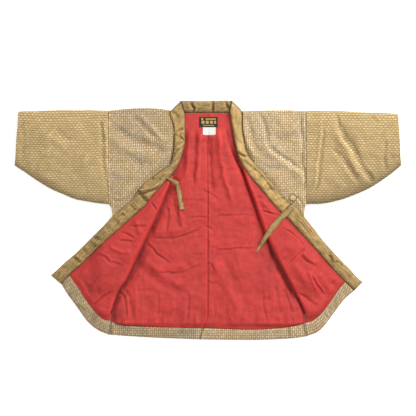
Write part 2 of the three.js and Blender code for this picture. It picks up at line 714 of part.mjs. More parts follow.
function flapOuter(side, flap) {
  const hem = smooth(side.hem, 4);
  const hemRow = flap.at(-1).map((point) => ({ ...along(hem, point.share), share: point.share }));
  const last = flap.length - 1;
  // The strip of the rounded fold belongs to the lining, all the way to the hem facing.
  const narrowed = flap.map((row) => row.slice(3));
  const inner = narrowed.map((row) => row.map((point) => ({ ...point })));
  const hemGrid = [flap[last], hemRow].map((row) => [row[0], ...row.slice(4)]);
  let grid = [...inner, ...insertRows(hemGrid, 0, 1, [0.4]).slice(1)];
  grid = insertRows(grid, grid.length - 1, grid.length - 2, [3, 10]);
  const hemStart = last + 1;
  grid = drawIn(grid, { near: SEAM_INSET, far: SEAM_INSET, first: 2 });
  const edge = edgeDistances(grid, { last: true });
  const under = (point, i, j) => {
    const bottom = flapBottom(side, point);
    const joined = j < 2 && i < hemStart && point.y > LEAF_END_Y + 6;
    if (joined) return bottom - FOLD_OVERLAP - LAYER_GAP;
    return i < hemStart ? bottom : bottom + 2 * (1 - quarterRound(edge[i][j], 6));
  };
  return slab(grid, under, (point, i, j) => {
    const bottom = flapBottom(side, point);
    if (i < hemStart) return bottom + CLOTH;
    return bottom + 4.2 + (WADDED - 4.2) * quarterRound(edge[i][j], 10);
  });
}

function makeFlapLining(name, side, flap) {
  const grid = drawIn(flap, { near: 0, far: SEAM_INSET, first: 2, last: 0.4 });
  const edge = edgeDistances(grid, { far: true, last: true });
  const fold = edgeDistances(grid, { near: true });
  const under = (point, i, j) => {
    const bottom = flapBottom(side, point);
    return j < 3 ? Math.min(bottom, LEAF_BOTTOM) : bottom + LINING_BOTTOM;
  };
  add(`front_lining_${name}`, 'lining', slab(grid, under, (point, i, j) => {
    const bottom = flapBottom(side, point);
    const low = Math.min(bottom, LEAF_BOTTOM);
    const rounded = 1.8 * (1 - quarterRound(edge[i][j], 8));
    const bare = smoothstep(4, 30, edge[i][j]) * smoothstep(6, 30, fold[i][j]);
    const relief = bare * (1.2 + foldHeight(point, side.flapFolds));
    const flat = bottom + WADDED - rounded + relief;
    const rise = quarterRound(fold[i][j], FOLD_ROUND * 2.2);
    return low + 4 + (flat - low - 4) * rise;
  }));
}

// A sleeve is a flattened tube, open at the cuff.
function makeSleeve(name, side) {
  const top = smooth(side.sleeve.map((row) => ({ x: row.topX, y: row.topY })));
  const bottom = smooth(side.sleeve.map((row) => ({ x: row.bottomX, y: row.bottomY })));
  let grid = panelGrid({
    near: top, far: bottom, nearSteps: [0, 3, 9, 18], farSteps: [0, 3, 9, 18], columns: 9,
  });
  grid = insertRows(grid, grid.length - 1, grid.length - 2, [3, 9]);
  grid = insertRows(grid, 0, 1, [4, 10]);
  grid = drawIn(grid, { first: 2 * SEAM_INSET });
  const edge = edgeDistances(grid, { near: true, far: true });
  const ends = edgeDistances(grid, { first: true, last: true });
  const outer = slab(grid,
    (point, i, j) => 5 * (1 - quarterRound(edge[i][j], 14)),
    (point, i, j) => {
      const rounded = 7 * (1 - quarterRound(edge[i][j], 18))
        + 2.2 * (1 - quarterRound(ends[i][j], 8));
      const bare = smoothstep(4, 30, edge[i][j]) * smoothstep(0, 12, ends[i][j]);
      return SLEEVE_THICK - rounded + bare * (1 + foldHeight(point, side.sleeveFolds));
    });
  const slot = panelGrid({
    near: top, far: bottom, nearSteps: [0, SLEEVE_EDGE], farSteps: [0, SLEEVE_EDGE], columns: 3,
  }).map((row) => row.slice(1, -1));
  const cut = [slot[0], slot[6], slot.at(-1)];
  const beyond = (from, to) => from.map((point, j) => ({ ...blend(to[j], point, 1.2) }));
  const through = [beyond(cut[0], cut[1]), cut[0], ...slot.slice(1, -1), cut[2], beyond(cut[2], cut[1])];
  const opening = slab(through, () => SLEEVE_WALL, () => SLEEVE_WALL + 3);
  add(`sleeve_${name}`, 'sleeve', outer.subtract(opening));
}

function makeTie(name, stations) {
  const middle = smooth(stations, 3);
  const lifts = smooth(stations.map((row, i) => ({ x: i, y: row.lift })), 3).map((p) => p.y);
  const widths = smooth(stations.map((row, i) => ({ x: i, y: row.width })), 3).map((p) => p.y);
  const rows = middle.map((point, i) => {
    const before = middle[Math.max(i - 1, 0)];
    const after = middle[Math.min(i + 1, middle.length - 1)];
    const length = spacing(before, after);
    const nx = -(after.y - before.y) / length;
    const ny = (after.x - before.x) / length;
    return [-0.5, -0.42, 0, 0.42, 0.5].map((share) => ({
      x: point.x + nx * share * widths[i],
      y: point.y + ny * share * widths[i],
      round: Math.abs(share) === 0.5 ? 1 : 0,
    }));
  });
  add(`tie_${name}`, 'collar', slab(rows,
    (point, i) => lifts[i] + 0.7 * point.round,
    (point, i) => lifts[i] + TIE_THICK - 0.7 * point.round));
}

function makeLabel({ name, look, x, y, width, depth }) {
  const shares = [-0.5, -0.17, 0.17, 0.5];
  const grid = shares.map((v) => shares.map((u) => ({ x: x + u * width, y: y + v * depth })));
  add(name, look, slab(grid, () => LEAF_BOTTOM, () => LEAF_BOTTOM + LABEL_THICK));
}

for (const [name, side] of Object.entries(sides)) {
  makeBack(name, side);
  makeFront(name, side);
  makeSleeve(name, side);
  makeCollar(name, side);
  makeTie(name, ties[name]);
}
makeNeckCollar();
labels.forEach(makeLabel);

// The middle of the outline is the origin.
const box = new THREE.Box3().setFromObject(group);
const middle = box.getCenter(new THREE.Vector3());
for (const piece of group.children) piece.geometry.translate(-middle.x, -middle.y, -box.min.z);

export default group;
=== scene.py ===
"""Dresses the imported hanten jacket: wadded cloth panels, padded collar band, ties and light."""

import math

import bpy
import numpy as np
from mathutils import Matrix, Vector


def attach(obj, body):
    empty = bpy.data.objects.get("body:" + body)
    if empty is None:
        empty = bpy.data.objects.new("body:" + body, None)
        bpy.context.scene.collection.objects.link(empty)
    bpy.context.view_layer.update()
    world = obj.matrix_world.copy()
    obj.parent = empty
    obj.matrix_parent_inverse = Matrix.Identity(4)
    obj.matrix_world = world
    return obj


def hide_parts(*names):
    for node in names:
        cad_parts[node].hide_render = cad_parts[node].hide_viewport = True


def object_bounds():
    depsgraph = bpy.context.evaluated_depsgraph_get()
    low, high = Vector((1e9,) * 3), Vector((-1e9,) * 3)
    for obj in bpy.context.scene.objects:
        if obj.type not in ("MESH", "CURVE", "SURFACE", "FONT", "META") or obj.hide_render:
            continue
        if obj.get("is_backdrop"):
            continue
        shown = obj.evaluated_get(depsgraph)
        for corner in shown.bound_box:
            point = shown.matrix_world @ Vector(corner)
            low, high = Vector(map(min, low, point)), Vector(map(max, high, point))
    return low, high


bl_info = {
    "name": "Wadded hanten jacket",
    "version": (1, 0, 0),
    "blender": (4, 5, 0),
    "location": "3D View > Sidebar > Hanten",
    "description": "Builds a wadded hanten jacket laid open on a pale floor",
    "category": "Object",
}

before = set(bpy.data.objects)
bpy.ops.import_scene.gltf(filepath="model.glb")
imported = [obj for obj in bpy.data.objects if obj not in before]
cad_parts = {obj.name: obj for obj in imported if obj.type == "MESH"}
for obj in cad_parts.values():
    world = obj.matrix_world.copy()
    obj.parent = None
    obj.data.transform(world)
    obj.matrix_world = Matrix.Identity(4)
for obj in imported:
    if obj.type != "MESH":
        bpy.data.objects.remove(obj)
CAD_BOX = [list(corner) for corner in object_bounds()]

MM = 0.001

# Middle of the jacket, size of a pixel and side of the photograph's frame.
PHOTO_MIDDLE_X = 207.95
PHOTO_MIDDLE_Y = 220.15
PHOTO_PIXEL_MM = 3.2
PHOTO_SIDE = 416

# Heights of the layers above the floor, and where they change, as in the solids (mm).
CLOTH = 4.6
LINING_BOTTOM = 4.9
WADDED = 9.5
LEAF_BOTTOM = 9.8
LEAF_TOP = 18.6
FLAP_BOTTOM = 18.9
FALL_START = 20.0
FALL_END = 75.0
LEAF_END_Y = -186.0
NECK_Y = 342.6
SEAM_INSET = 0.2
FOLD_ROUND = 7.0
FACING_ROUND = 3.0
SLEEVE_TOP = 19.0
SLEEVE_MIDDLE = 8.6
SLEEVE_WALL = 6.0

# Row and column pitch of the two weaves, in metres.
SLEEVE_PITCH = (0.0074, 0.0122)
BODY_PITCH = (0.0077, 0.0066)

# The point attribute of painted light and shade, times this, is added to the factor, about 1,
# on the value of a cloth's colour. It holds painted shade low in the relief, painted light on its
# ridges, and more painted light and shade set to the photograph, below and beside their shapes.
PAINTED_LIGHT_SHARE = 0.24

# Painted light and shade of each side's parts, in units of that attribute: above 0 is lighter,
# but the sleeves' painted edge shade is darker.
HEM_PAINTED_SHADE = {"left": -1.25, "right": -0.55}
CHEST_PAINTED_SHADE = {"left": -0.55, "right": 0.0}
ARMHOLE_PAINTED_LIGHT = {"left": 3.2, "right": 0.3}
FOLD_PAINTED_LIGHT = {"left": 0.0, "right": 2.0}
SLEEVE_SEAM_PAINTED_LIGHT = {"left": 2.4, "right": 0.0}
SLEEVE_EDGE_PAINTED_SHADE = {"left": 1.2, "right": 1.9}
BAND_MIDDLE_LIGHT_AND_SHADE = {"collar_left": 0.6, "collar_left_turned": -0.4, "collar_right": 2.7,
              "collar_right_turned": 0.5, "collar_back": -0.4}

SIDES = {
    "left": {
        "sign": -1,
        "side_x": -311,
        "neck_x": -84,
        "roll": (196, 270),
        "shoulder": [(-318, 351), (-270, 356), (-218, 359), (-165, 358), (-117.5, 351)],
        "side": [(-318, 351), (-318, 250), (-318, 150), (-318, 52), (-311, 42), (-306, 19),
            (-311, -2)],
        "chest_seam": [(-88, 383), (-110, 360), (-123.5, 340), (-112, 305), (-109, 262),
            (-110.5, 219.5), (-120.5, 182.5), (-142.5, 165), (-173, 142.5), (-200.5, 121.5),
            (-224, 97.5)],
        "chest_free": [(-75.5, 343), (-74, 330), (-73.6, 310), (-73.6, 277), (-75.5, 237),
            (-86.5, 196.5), (-100.5, 165), (-117, 141), (-139, 118.5), (-161.5, 95.5), (-189, 63)],
        "turned_seam": [(-189, 63), (-201, 45.5), (-221, 27), (-246.5, 5), (-283, -27.5),
            (-330, -70), (-368, -105), (-406, -142.5), (-444, -176), (-470, -205)],
        "turned_free": [(-224, 97.5), (-243, 66), (-266, 48), (-291, 25.5), (-325, -9), (-363, -46),
            (-400, -81.5), (-437, -117), (-471.5, -148), (-504, -176)],
        "fold": [(-108, 139), (-128, 96), (-150.5, 40), (-185.5, -35), (-224, -115), (-259, -189),
            (-278.5, -216), (-291, -240), (-305.5, -281.5), (-311, -301), (-311.2, -322.5)],
        "facing": [(-311.2, -322.5), (-337, -317), (-368, -286.5), (-391.5, -256), (-411, -224.5),
            (-444, -176)],
        "hem": [(-320.5, -366), (-345.5, -356), (-368, -342), (-391.5, -318.5), (-420, -278.5),
            (-451, -236), (-470, -205)],
        "back_facing": [(-311, -324), (-277, -335), (-185.5, -342), (-13, -345.5)],
        "back_hem": [(-320.5, -367), (-250, -372), (-185.5, -376), (-27, -382.5)],
        "chest_limit": [(-318, 12), (-266, 48), (-224, 98), (-173, 142), (-121, 182), (-108, 262),
            (-100, 400)],
        "sleeve_top": [(-318, 351), (-366, 353), (-420, 353), (-474, 353), (-520, 352), (-564, 350),
            (-606, 349)],
        "sleeve_bottom": [(-318, 51), (-366, 56), (-423, 67), (-478, 88), (-526, 112), (-572, 143),
            (-618.5, 174)],
        "band_start": 7,
    },
    "right": {
        "sign": 1,
        "side_x": 311,
        "neck_x": 84,
        "roll": (214, 270),
        "shoulder": [(314, 350), (262, 352), (210, 352), (158, 351), (107.5, 349)],
        "side": [(314, 350), (314, 250), (314, 150), (314, 52), (311, 42), (309, 19), (311, -2)],
        "chest_seam": [(76.5, 383.5), (96, 365.5), (109, 346), (110, 307), (114, 265.5),
            (123.5, 221), (146, 185.5), (174.5, 157), (203, 121.5), (231.5, 85), (267, 54.5)],
        "chest_free": [(70, 343), (71.5, 329.5), (74.5, 312), (79.5, 281.5), (86.5, 246.5),
            (97.5, 205), (114.5, 168), (140, 131), (169.5, 96), (200, 59), (234.5, 21)],
        "turned_seam": [(234.5, 21), (254.5, 2.5), (278.5, -23.5), (306, -53), (334.5, -84),
            (362.5, -115), (388, -144), (413, -171), (439, -197.5), (469, -226)],
        "turned_free": [(267, 54.5), (289, 35), (310.5, 8), (341, -29), (369.5, -65.5),
            (398.5, -98), (427, -129), (453, -156), (474.5, -178.5), (496.5, -198)],
        "fold": [(114, 157), (128, 115), (147, 64), (168, 3), (192, -61), (224, -128), (256, -189),
            (275, -224), (291, -253), (304.5, -281.5), (311, -301), (311.2, -328)],
        "facing": [(311.2, -328), (333, -323), (362.5, -299), (392, -261), (414.5, -227),
            (439, -197.5)],
        "hem": [(319, -371), (345, -362), (362.5, -350.5), (383, -326.5), (406.5, -294.5),
            (436, -256), (469, -226)],
        "back_facing": [(311, -329.5), (261, -342), (186.5, -349), (119.5, -350.5), (-13, -345.5)],
        "back_hem": [(319, -372), (267.5, -379), (186.5, -383), (118.5, -384), (-27, -382.5)],
        "chest_limit": [(104, 400), (112, 262), (123.5, 221), (146, 185), (174.5, 157), (203, 121),
            (231.5, 85), (267, 56), (314, 8)],
        "sleeve_top": [(314, 350), (364, 351), (415, 351), (466, 349), (516, 346), (562, 344),
            (609, 341)],
        "sleeve_bottom": [(314, 52), (364, 52), (412, 61), (464, 79), (516, 102), (566, 133),
            (618.5, 174)],
        "band_start": 6,
    },
}

# Each fold is its width and height in mm, the share of its height in a raised lip beside it, and
# its line across the photograph's frame in pixels. A crease has a lip, a ridge or trough has none.
CHEST_FOLDS = {
    "left": [
        (12, 2.8, 0, [(136, 112), (146, 119.5), (153.5, 128), (160, 137), (168, 143)]),
        (11, -3.4, 0, [(113, 121), (121, 130), (130, 137), (140, 142), (150, 145), (160, 149),
            (168, 150)]),
        (9, -2.2, 0, [(131, 114), (141, 122), (149, 131), (157, 139.5)]),
        (15, 3.2, 0, [(108, 131), (116, 140), (126, 147.5), (137, 152), (148, 155), (158, 157)]),
        (18, -2, 0, [(122, 153), (134, 159), (147, 164)]),
        (18, 1.6, 0, [(112, 170), (126, 174), (142, 176)]),
        (4, -2.4, 0, [(108, 193), (110, 201), (112, 207)]),
        (3, -4.2, 0.6, [(117, 212), (121, 209), (125, 205)]),
        (3, -3.8, 0.6, [(125, 204), (129, 202), (132, 200)]),
        (5, -1.8, 0, [(112, 196), (117, 201), (118, 208)]),
        (5, -1.8, 0, [(117, 199), (124, 199), (130, 196)]),
        (3, -4, 0, [(150, 183), (153, 180), (156, 178.5)]),
    ],
    "right": [
        (7, -3.2, 0, [(257.5, 111), (263, 118), (265, 126), (267, 136), (268.5, 146)]),
        (6, -3.8, 0, [(268, 144), (277, 152), (285, 157), (292, 162), (298, 167)]),
        (13, 3.8, 0, [(262, 132), (265, 146), (272, 154), (281, 160), (289, 167), (296, 172),
            (301, 179), (303, 188)]),
        (8, -2.8, 0, [(244.5, 116), (249, 126), (252, 136), (255, 145), (260, 156)]),
        (9, 2.4, 0, [(244, 124), (246.5, 138), (249.5, 151), (254, 160)]),
        (14, -1.8, 0, [(272, 131), (282, 137), (293, 140)]),
        (10, -2.2, 0, [(262, 164), (271, 167), (281, 167)]),
        (4.5, -3.2, 0, [(298, 111), (300.5, 122), (302.2, 133), (303, 147), (303.8, 163),
            (304.3, 180), (304.6, 196)]),
        (3, -2.4, 0, [(298, 194), (301, 200), (304, 208)]),
        (3.4, 1.8, 0, [(295, 190), (298, 199), (301, 210)]),
        (22, 2.2, 0, [(272, 113), (285, 122), (296, 132)]),
    ],
}

FLAP_FOLDS = {
    "left": [
        (2.4, -2.3, 0.35, [(149, 199), (154, 205), (158, 212)]),
        (3, -1.9, 0.4, [(120, 232), (128, 235), (137, 239)]),
        (3, -1.8, 0.4, [(119, 240), (128, 241.5), (136, 243)]),
        (4, -1.4, 0.4, [(128, 226), (138, 227), (148, 225)]),
        (4, -1.8, 0.45, [(93, 252), (103, 256.5), (112, 262), (127, 265)]),
        (2.6, -2, 0.2, [(92, 307), (98, 302.5), (104, 297), (116, 289)]),
        (22, 2.4, 0, [(84, 281), (100, 272), (117, 262)]),
        (12, -1.8, 0.6, [(96, 296), (108, 282), (122, 262)]),
        (10, -1.6, 0.5, [(76, 274), (84, 284), (90, 296)]),
        (8, 1.8, 0, [(130, 214), (138, 224), (142, 236)]),
        (5, -1.4, 0.8, [(88, 288), (96, 280), (106, 275)]),
        (6, 1.8, 0, [(110, 246), (122, 250), (132, 250)]),
    ],
    "right": [
        (2.2, -1.6, 0.2, [(284, 228), (293, 235), (304, 249)]),
        (2.2, -1.6, 0.2, [(304, 249), (297, 257), (286, 266)]),
        (2.6, -3, 0.4, [(311, 275), (317, 285), (324, 296)]),
        (7, 2.6, 0, [(307, 270), (313, 282), (318, 296)]),
        (9, 2.2, 0, [(318, 272), (326, 284), (332, 295)]),
        (8, -2.4, 0, [(331, 281), (336, 288), (339, 293)]),
        (4, -1.6, 0.4, [(291, 291), (304, 297), (317, 307)]),
        (3, -1.6, 0.4, [(292, 298), (297, 303), (302, 310)]),
        (14, 2.8, 0, [(293, 262), (302, 276), (312, 292)]),
        (2.6, -1.9, 0.4, [(261, 211), (270, 213), (281, 216)]),
        (9, 2, 0, [(262, 202), (272, 207), (281, 210)]),
        (3, -1.6, 0.3, [(251, 181), (256, 184), (262, 181)]),
        (3, -1.6, 0.3, [(266, 197), (271, 203), (275, 209)]),
        (3, -1.4, 0.4, [(256, 196), (264, 198), (270, 196)]),
        (18, 1.8, 0, [(283, 240), (294, 251), (301, 262)]),
        (5, -1.8, 0.9, [(300, 255), (308, 262), (318, 268)]),
    ],
}

SLEEVE_FOLDS = {
    "left": [
        (5, -2.8, 0, [(102, 120), (103, 132), (102, 146)]),
        (6, -2.4, 0, [(102, 146), (104, 160), (106, 172), (108, 184), (108.5, 196)]),
        (5, 1.6, 0, [(105.8, 122), (106.4, 140), (107, 158)]),
        (10, -2, 0, [(54, 127), (63, 134), (73, 142)]),
        (12, 1.8, 0, [(47, 132), (58, 141), (70, 150)]),
        (22, 1.8, 0, [(76, 122), (84, 142), (92, 165)]),
        (22, 1.4, 0, [(40, 120), (48, 138), (50, 158)]),
        (16, 1.6, 0, [(36, 172), (52, 180), (72, 186)]),
        (7, -1.6, 0, [(25, 116), (24, 140), (24, 166)]),
        (6, -1.6, 0, [(20, 128), (26, 124), (32, 126)]),
    ],
    "right": [
        (4, -3, 0, [(336, 109), (337.5, 118), (339.5, 128)]),
        (9, -4.6, 0, [(338, 120), (344.5, 134), (351, 146), (357, 157), (364, 167), (372, 178),
            (378, 185)]),
        (13, 4.6, 0, [(331, 125), (338, 137), (345, 148), (352, 160), (360, 172), (368, 185)]),
        (16, 2.4, 0, [(348, 120), (355, 133), (362, 146), (369, 159)]),
        (9, -3, 0, [(332, 149), (343, 160), (350, 170), (358, 181)]),
        (7, 2, 0, [(342, 165), (349, 173), (357, 183)]),
        (4.5, 2.6, 0, [(321.5, 122), (321.5, 140), (319.5, 158), (316, 176), (312.5, 194)]),
        (5, -2.4, 0, [(324, 122), (324, 141), (322, 159), (318.5, 177), (315, 194)]),
        (5, -2.2, 0, [(387.5, 140), (386, 160), (388, 174)]),
        (7, -1.8, 0, [(390, 157), (396, 156), (400, 159)]),
        (4, -2.2, 0, [(369, 113), (375, 119), (378, 122)]),
        (14, 1.6, 0, [(326, 168), (334, 178), (345, 188)]),
    ],
}

LINING_FOLDS = [
    (2.8, -1.5, 0.4, [(150, 237.3), (160, 238.2), (172, 237.6), (186, 234), (202, 227)]),
    (14, 2.4, 0, [(152, 231), (168, 231), (188, 226)]),
    (2.8, -2.4, 0.35, [(146, 243), (152, 248.5), (159, 255), (171, 265)]),
    (2.8, -1.2, 0.4, [(156, 271.5), (170, 273), (184, 272.5), (194, 268), (203, 263)]),
    (12, 1.8, 0, [(150, 266), (170, 268), (190, 264)]),
    (13.8, -2.2, 0, [(134, 260), (146, 272), (158, 281), (174, 289), (190, 294)]),
    (11, 2.6, 0, [(142, 256), (152, 265), (166, 276), (184, 286)]),
    (2.4, -1.1, 0.4, [(187, 216.5), (197, 216.3), (208, 217)]),
    (3.1, -0.7, 0.4, [(180, 200), (194, 199.8), (208, 200)]),
    (2.6, -1.4, 0.4, [(178, 200), (178.3, 208), (178, 217)]),
    (2.6, -1.2, 0.4, [(214, 215), (230, 215.6), (246, 215.3), (258, 215.6)]),
    (2.6, -1.4, 0.4, [(213, 249), (228, 249.4), (242, 249), (257, 249)]),
    (15, 2, 0, [(213, 258), (222, 276), (233, 298), (244, 320)]),
    (11.2, -1.4, 0, [(222, 256), (234, 280), (249, 312)]),
    (17.5, 1.1, 0, [(262, 262), (270, 286), (276, 312)]),
    (2.5, -1.5, 0.4, [(205, 225), (211, 228), (214, 233)]),
    (2.5, -0.9, 0.4, [(206, 245), (212, 247), (216, 246)]),
    (2.5, -1.5, 0.4, [(206, 262), (212, 266), (216, 272)]),
    (3.1, -0.6, 0.4, [(206, 280), (213, 283), (219, 282)]),
    (2.5, -0.9, 0.4, [(203, 236), (199, 238), (194, 238)]),
    (2.5, -0.9, 0.4, [(204, 254), (199, 256), (193, 254)]),
    (5, -5.4, 0, [(226.5, 108), (227, 128), (232, 146), (240, 166), (247, 183)]),
    (14, -3.4, 0, [(232, 112), (234, 135), (241, 155), (249, 172)]),
    (9.1, 2.2, 0, [(194, 118), (190, 138), (187, 160), (186, 185)]),
    (10.4, 2.8, 0, [(201, 128), (200, 155), (198, 190)]),
    (6.5, -1.7, 0, [(197, 120), (195.5, 150), (193, 190)]),
    (5.2, -1.2, 0, [(187, 118), (186, 135), (182, 152), (176, 168)]),
    (8, -3.4, 0, [(209, 134), (211, 165), (213, 195)]),
    (9, 3.4, 0, [(219, 118), (221, 150), (227, 185), (236, 205)]),
    (6, -2, 0.7, [(172, 196), (176, 212), (180, 230)]),
    (4, -1.4, 0.35, [(166, 206), (169, 222), (166, 236)]),
    (3.8, -1.4, 0.4, [(126, 290), (130, 300), (133, 321)]),
    (3, -2.3, 0.4, [(119, 290), (125, 300), (127, 321)]),
    (6.2, 1.1, 0, [(134, 288), (136, 304), (135, 322)]),
    (3.8, -0.9, 0.4, [(157, 288), (158.5, 302), (158, 320)]),
    (3.8, -0.9, 0.4, [(190, 292), (189, 306), (188, 322)]),
    (3.8, -0.6, 0.4, [(128, 291), (140, 291), (152, 290)]),
    (15, 1.1, 0, [(150, 300), (164, 306), (178, 306)]),
    (3.8, -0.7, 0.4, [(171, 300), (172, 310), (170, 321)]),
    (3.8, -1, 0.4, [(262, 290), (264, 304), (266, 322)]),
    (4.4, -1.2, 0.4, [(275, 283), (278, 300), (282, 318)]),
    (4, -2, 0.4, [(283, 288), (288, 300), (292, 314)]),
    (8, -3, 0, [(268, 244), (277, 262), (286, 282), (294, 300)]),
    (5, -0.7, 0.4, [(232, 262), (233, 282), (236, 300)]),
    (3.8, -0.9, 0.4, [(215, 300), (216, 310), (214, 322)]),
    (3.8, -0.9, 0.4, [(228, 304), (227, 312), (229, 322)]),
    (3, -0.7, 0.4, [(205, 180), (212, 183), (218, 182)]),
    (2.6, -1.4, 0.4, [(204, 192), (211, 194), (217, 199)]),
]

HEM_FOLDS = [
    (3, -3.4, 0.5, [(110.5, 318), (110.3, 326), (110.8, 336)]),
    (3, -3.4, 0.5, [(204.5, 325), (202.5, 331), (199.5, 340)]),
    (3, -3.2, 0.5, [(289.5, 325), (290, 332), (290.5, 340)]),
    (3, -3.2, 0.5, [(303, 322), (305, 329), (307.5, 337)]),
    (4, -1.6, 0.5, [(78, 303), (82, 307), (86, 312)]),
    (4, -1.8, 0.5, [(320, 306), (324, 312), (328, 318)]),
]

BAND_FOLDS = {
    "collar_left": [
        (3.6, -4.2, 0.8, [(185, 130), (179, 131.5), (174.5, 134)]),
        (3.8, -4.2, 0.7, [(179, 136.5), (183, 141.5), (178, 145), (174.5, 148.5)]),
        (3.4, -3.8, 0.8, [(180, 149), (176, 152.5), (173.5, 155.5)]),
        (7, -1.6, 0.6, [(184.5, 117), (178, 122), (174, 124)]),
        (4.5, -2.2, 0.8, [(180, 158), (174, 161), (170, 163.5)]),
        (4.5, -2, 0.7, [(173, 169), (167, 170), (161, 173.5)]),
        (7, 1.8, 0, [(150, 181.5), (162, 174.5), (172, 164), (178, 152)]),
        (3.6, -2.6, 0.7, [(162, 180.5), (154, 183), (146, 185.5)]),
        (3.4, 4.2, 0, [(136, 190), (141, 189.3), (147, 188), (153, 186.4), (160, 184)]),
        (3, -5, 0, [(137, 194), (143, 192.6), (150, 190.4), (158, 187.4)]),
        (3, -3, 0.4, [(152, 178), (153.5, 180.5)]),
        (4.5, -2.4, 0.7, [(172, 113), (176, 116), (178, 120)]),
        (3, 2, 0, [(181, 104), (183, 109), (184.4, 115)]),
    ],
    "collar_left_turned": [
        (4, -4, 0.5, [(137.5, 192), (142.5, 196), (148.5, 202)]),
        (3.4, 2.6, 0, [(133.5, 200), (138, 203.5), (143.5, 208.5)]),
        (4.2, -2.6, 0.7, [(129.5, 203.5), (134, 207), (138, 211.5)]),
        (2.8, -2.4, 0.8, [(121, 217), (123.5, 214.6), (126, 217.5)]),
        (6, -1.8, 0.8, [(112, 216), (117, 222), (121, 228)]),
        (4.5, -2.4, 0.8, [(92.5, 236.5), (98, 240), (103.5, 241.5)]),
        (4.5, -2.2, 0.8, [(88.5, 241), (93, 245), (98, 247.5)]),
        (4.2, -2, 0.8, [(83, 249), (86, 252), (89.5, 255)]),
        (4.2, -3.2, 0.8, [(71.5, 255.5), (76, 258.5), (82.5, 263.5)]),
        (3.6, 2.2, 0, [(76.5, 255.5), (81, 257.5), (86, 260)]),
        (8, -1.2, 0.6, [(60, 266), (64, 270), (70, 273)]),
        (7, 1.4, 0, [(101, 226), (106, 231), (110, 236)]),
    ],
    "collar_right": [
        (3.2, -6.2, 0.3, [(237.5, 150.5), (241.5, 153.6), (246.5, 156)]),
        (7, 2.6, 0, [(240.5, 155), (248, 159.6), (256, 166), (264.5, 176), (273, 185.6),
            (281, 193)]),
        (6, -1.4, 0, [(241, 159), (248.5, 164.4), (255.5, 171), (264, 181), (273, 190.5),
            (280, 197.5)]),
        (4.5, -2.2, 0.8, [(247.5, 173), (251, 171), (255, 168.5)]),
        (4.5, -2.2, 0.7, [(255, 181), (258.5, 178), (261, 174.5)]),
        (4.5, -2.4, 0.8, [(262.5, 190), (267.5, 184.5), (271.5, 189)]),
        (4.5, -1.9, 0.8, [(265.5, 190.5), (272, 189), (279, 190.5)]),
        (4.5, -2.6, 0.7, [(274.5, 201.5), (281, 198.5), (287, 197.5)]),
        (5, -2.2, 0.6, [(278, 208), (284, 205), (289, 200)]),
        (6, -1.6, 0.7, [(234, 134), (238, 139), (242, 141.5)]),
        (6, -1.6, 0.7, [(232, 117), (236, 123), (240, 126)]),
        (4, 1.8, 0, [(230.6, 103), (232, 110), (233, 120)]),
        (3.2, -2.4, 0, [(242.2, 110), (242.6, 118), (242.8, 126)]),
    ],
    "collar_right_turned": [
        (3.4, -5, 0.2, [(291, 204), (286, 209), (281.5, 214)]),
        (3.4, 1.6, 0, [(296, 214), (305, 224), (315, 234)]),
        (3, -1.4, 0.4, [(292, 217), (301, 227), (311, 238)]),
        (5.5, -2.8, 0.7, [(314, 241.5), (317, 243.5), (319.5, 247.5)]),
        (5, 1.6, 0, [(322, 240), (326, 245), (329, 249)]),
        (4.2, -3.4, 0.8, [(329.5, 254.5), (332, 258), (333.5, 262)]),
        (4.2, -3.2, 0.8, [(336.5, 260), (340, 262.5), (342.5, 267.5)]),
        (6, 1.3, 0, [(345, 268), (349, 272), (352, 277)]),
        (6, -1.4, 0.7, [(305, 232), (309, 232), (312, 229)]),
    ],
    "collar_back": [
        (3.4, -4.8, 0.7, [(192.6, 100), (191.7, 105), (193.7, 108.3), (191.5, 114)]),
        (3, -5.4, 0.6, [(212.9, 100), (213.2, 106), (213.7, 114)]),
        (5.5, 1.6, 0, [(186.5, 102), (188.5, 107), (187, 113)]),
        (7, -1.2, 0.5, [(199, 104.5), (205, 106.5), (210, 105)]),
        (3.6, -3.4, 0.7, [(224.6, 101), (226.2, 105), (229, 109)]),
        (6, 1.3, 0, [(217, 104), (219, 108), (218, 113)]),
    ],
}

# Each strip of a tie: its middle line, and its height and width at each point of the line.
TIES = {
    "left": [
        {"middle": [(-131, 134), (-120.5, 130.5), (-108, 124), (-95.5, 114.5)],
         "lift": [28.5, 29.4, 28.2, 26], "width": [5, 9.5, 12.5, 14.5]},
        {"middle": [(-101, 118), (-95.5, 105), (-91.5, 85), (-87, 59), (-82, 33.5)],
         "lift": [21, 19, 13.5, 11.8, 11.4], "width": [11, 13, 14.5, 16, 16]},
    ],
    "right": [
        {"middle": [(268, 43), (255, 29), (240, 15), (225, -1), (206, -23), (189, -47),
                    (174, -71), (162.5, -90), (155, -102)],
         "lift": [33, 34, 34.5, 34.5, 34.5, 33, 24, 14, 11.4],
         "width": [19, 20, 19.5, 19, 18, 16, 12.5, 8.5, 4]},
    ],
}

# Seam and free edge of the neck's band.
NECK_SEAM = [(-75.5, 343), (-52, 343), (-20, 343), (12, 343), (42, 343), (70, 343)]
NECK_FREE = [(-88, 383), (-58, 384.5), (-22, 383.5), (12, 384), (46, 384), (76.5, 383.5)]

# Near and far edge of the small patch where the right tie begins.
PATCH_EDGES = [(266.7, 86.9), (258.7, 67.7)], [(286.9, 74.1), (277.6, 59.0)]

# Middle, width, depth and how far the lower corners are cut, in mm.
LABELS = {"label": (1.8, 314.0, 59.0, 32.0, 0.0), "care_label": (4.0, 284.5, 41.0, 25.5, 4.0)}

# Plain bars on the woven label, as shares of its size: middle, length and height.
LABEL_BARS = [
    (-0.34, 0.30, 0.10, 0.22), (0.12, 0.30, 0.56, 0.12), (-0.30, -0.02, 0.16, 0.30),
    (-0.07, -0.02, 0.16, 0.30), (0.16, -0.02, 0.16, 0.30), (0.36, -0.02, 0.10, 0.30),
    (0.0, -0.34, 0.62, 0.07),
]


# Shapes


def smoothstep(start, end, value):
    """0 before start, 1 after end, and 3t^2 - 2t^3 between them."""
    t = np.clip((value - start) / (end - start), 0.0, 1.0)
    return t * t * (3.0 - 2.0 * t)


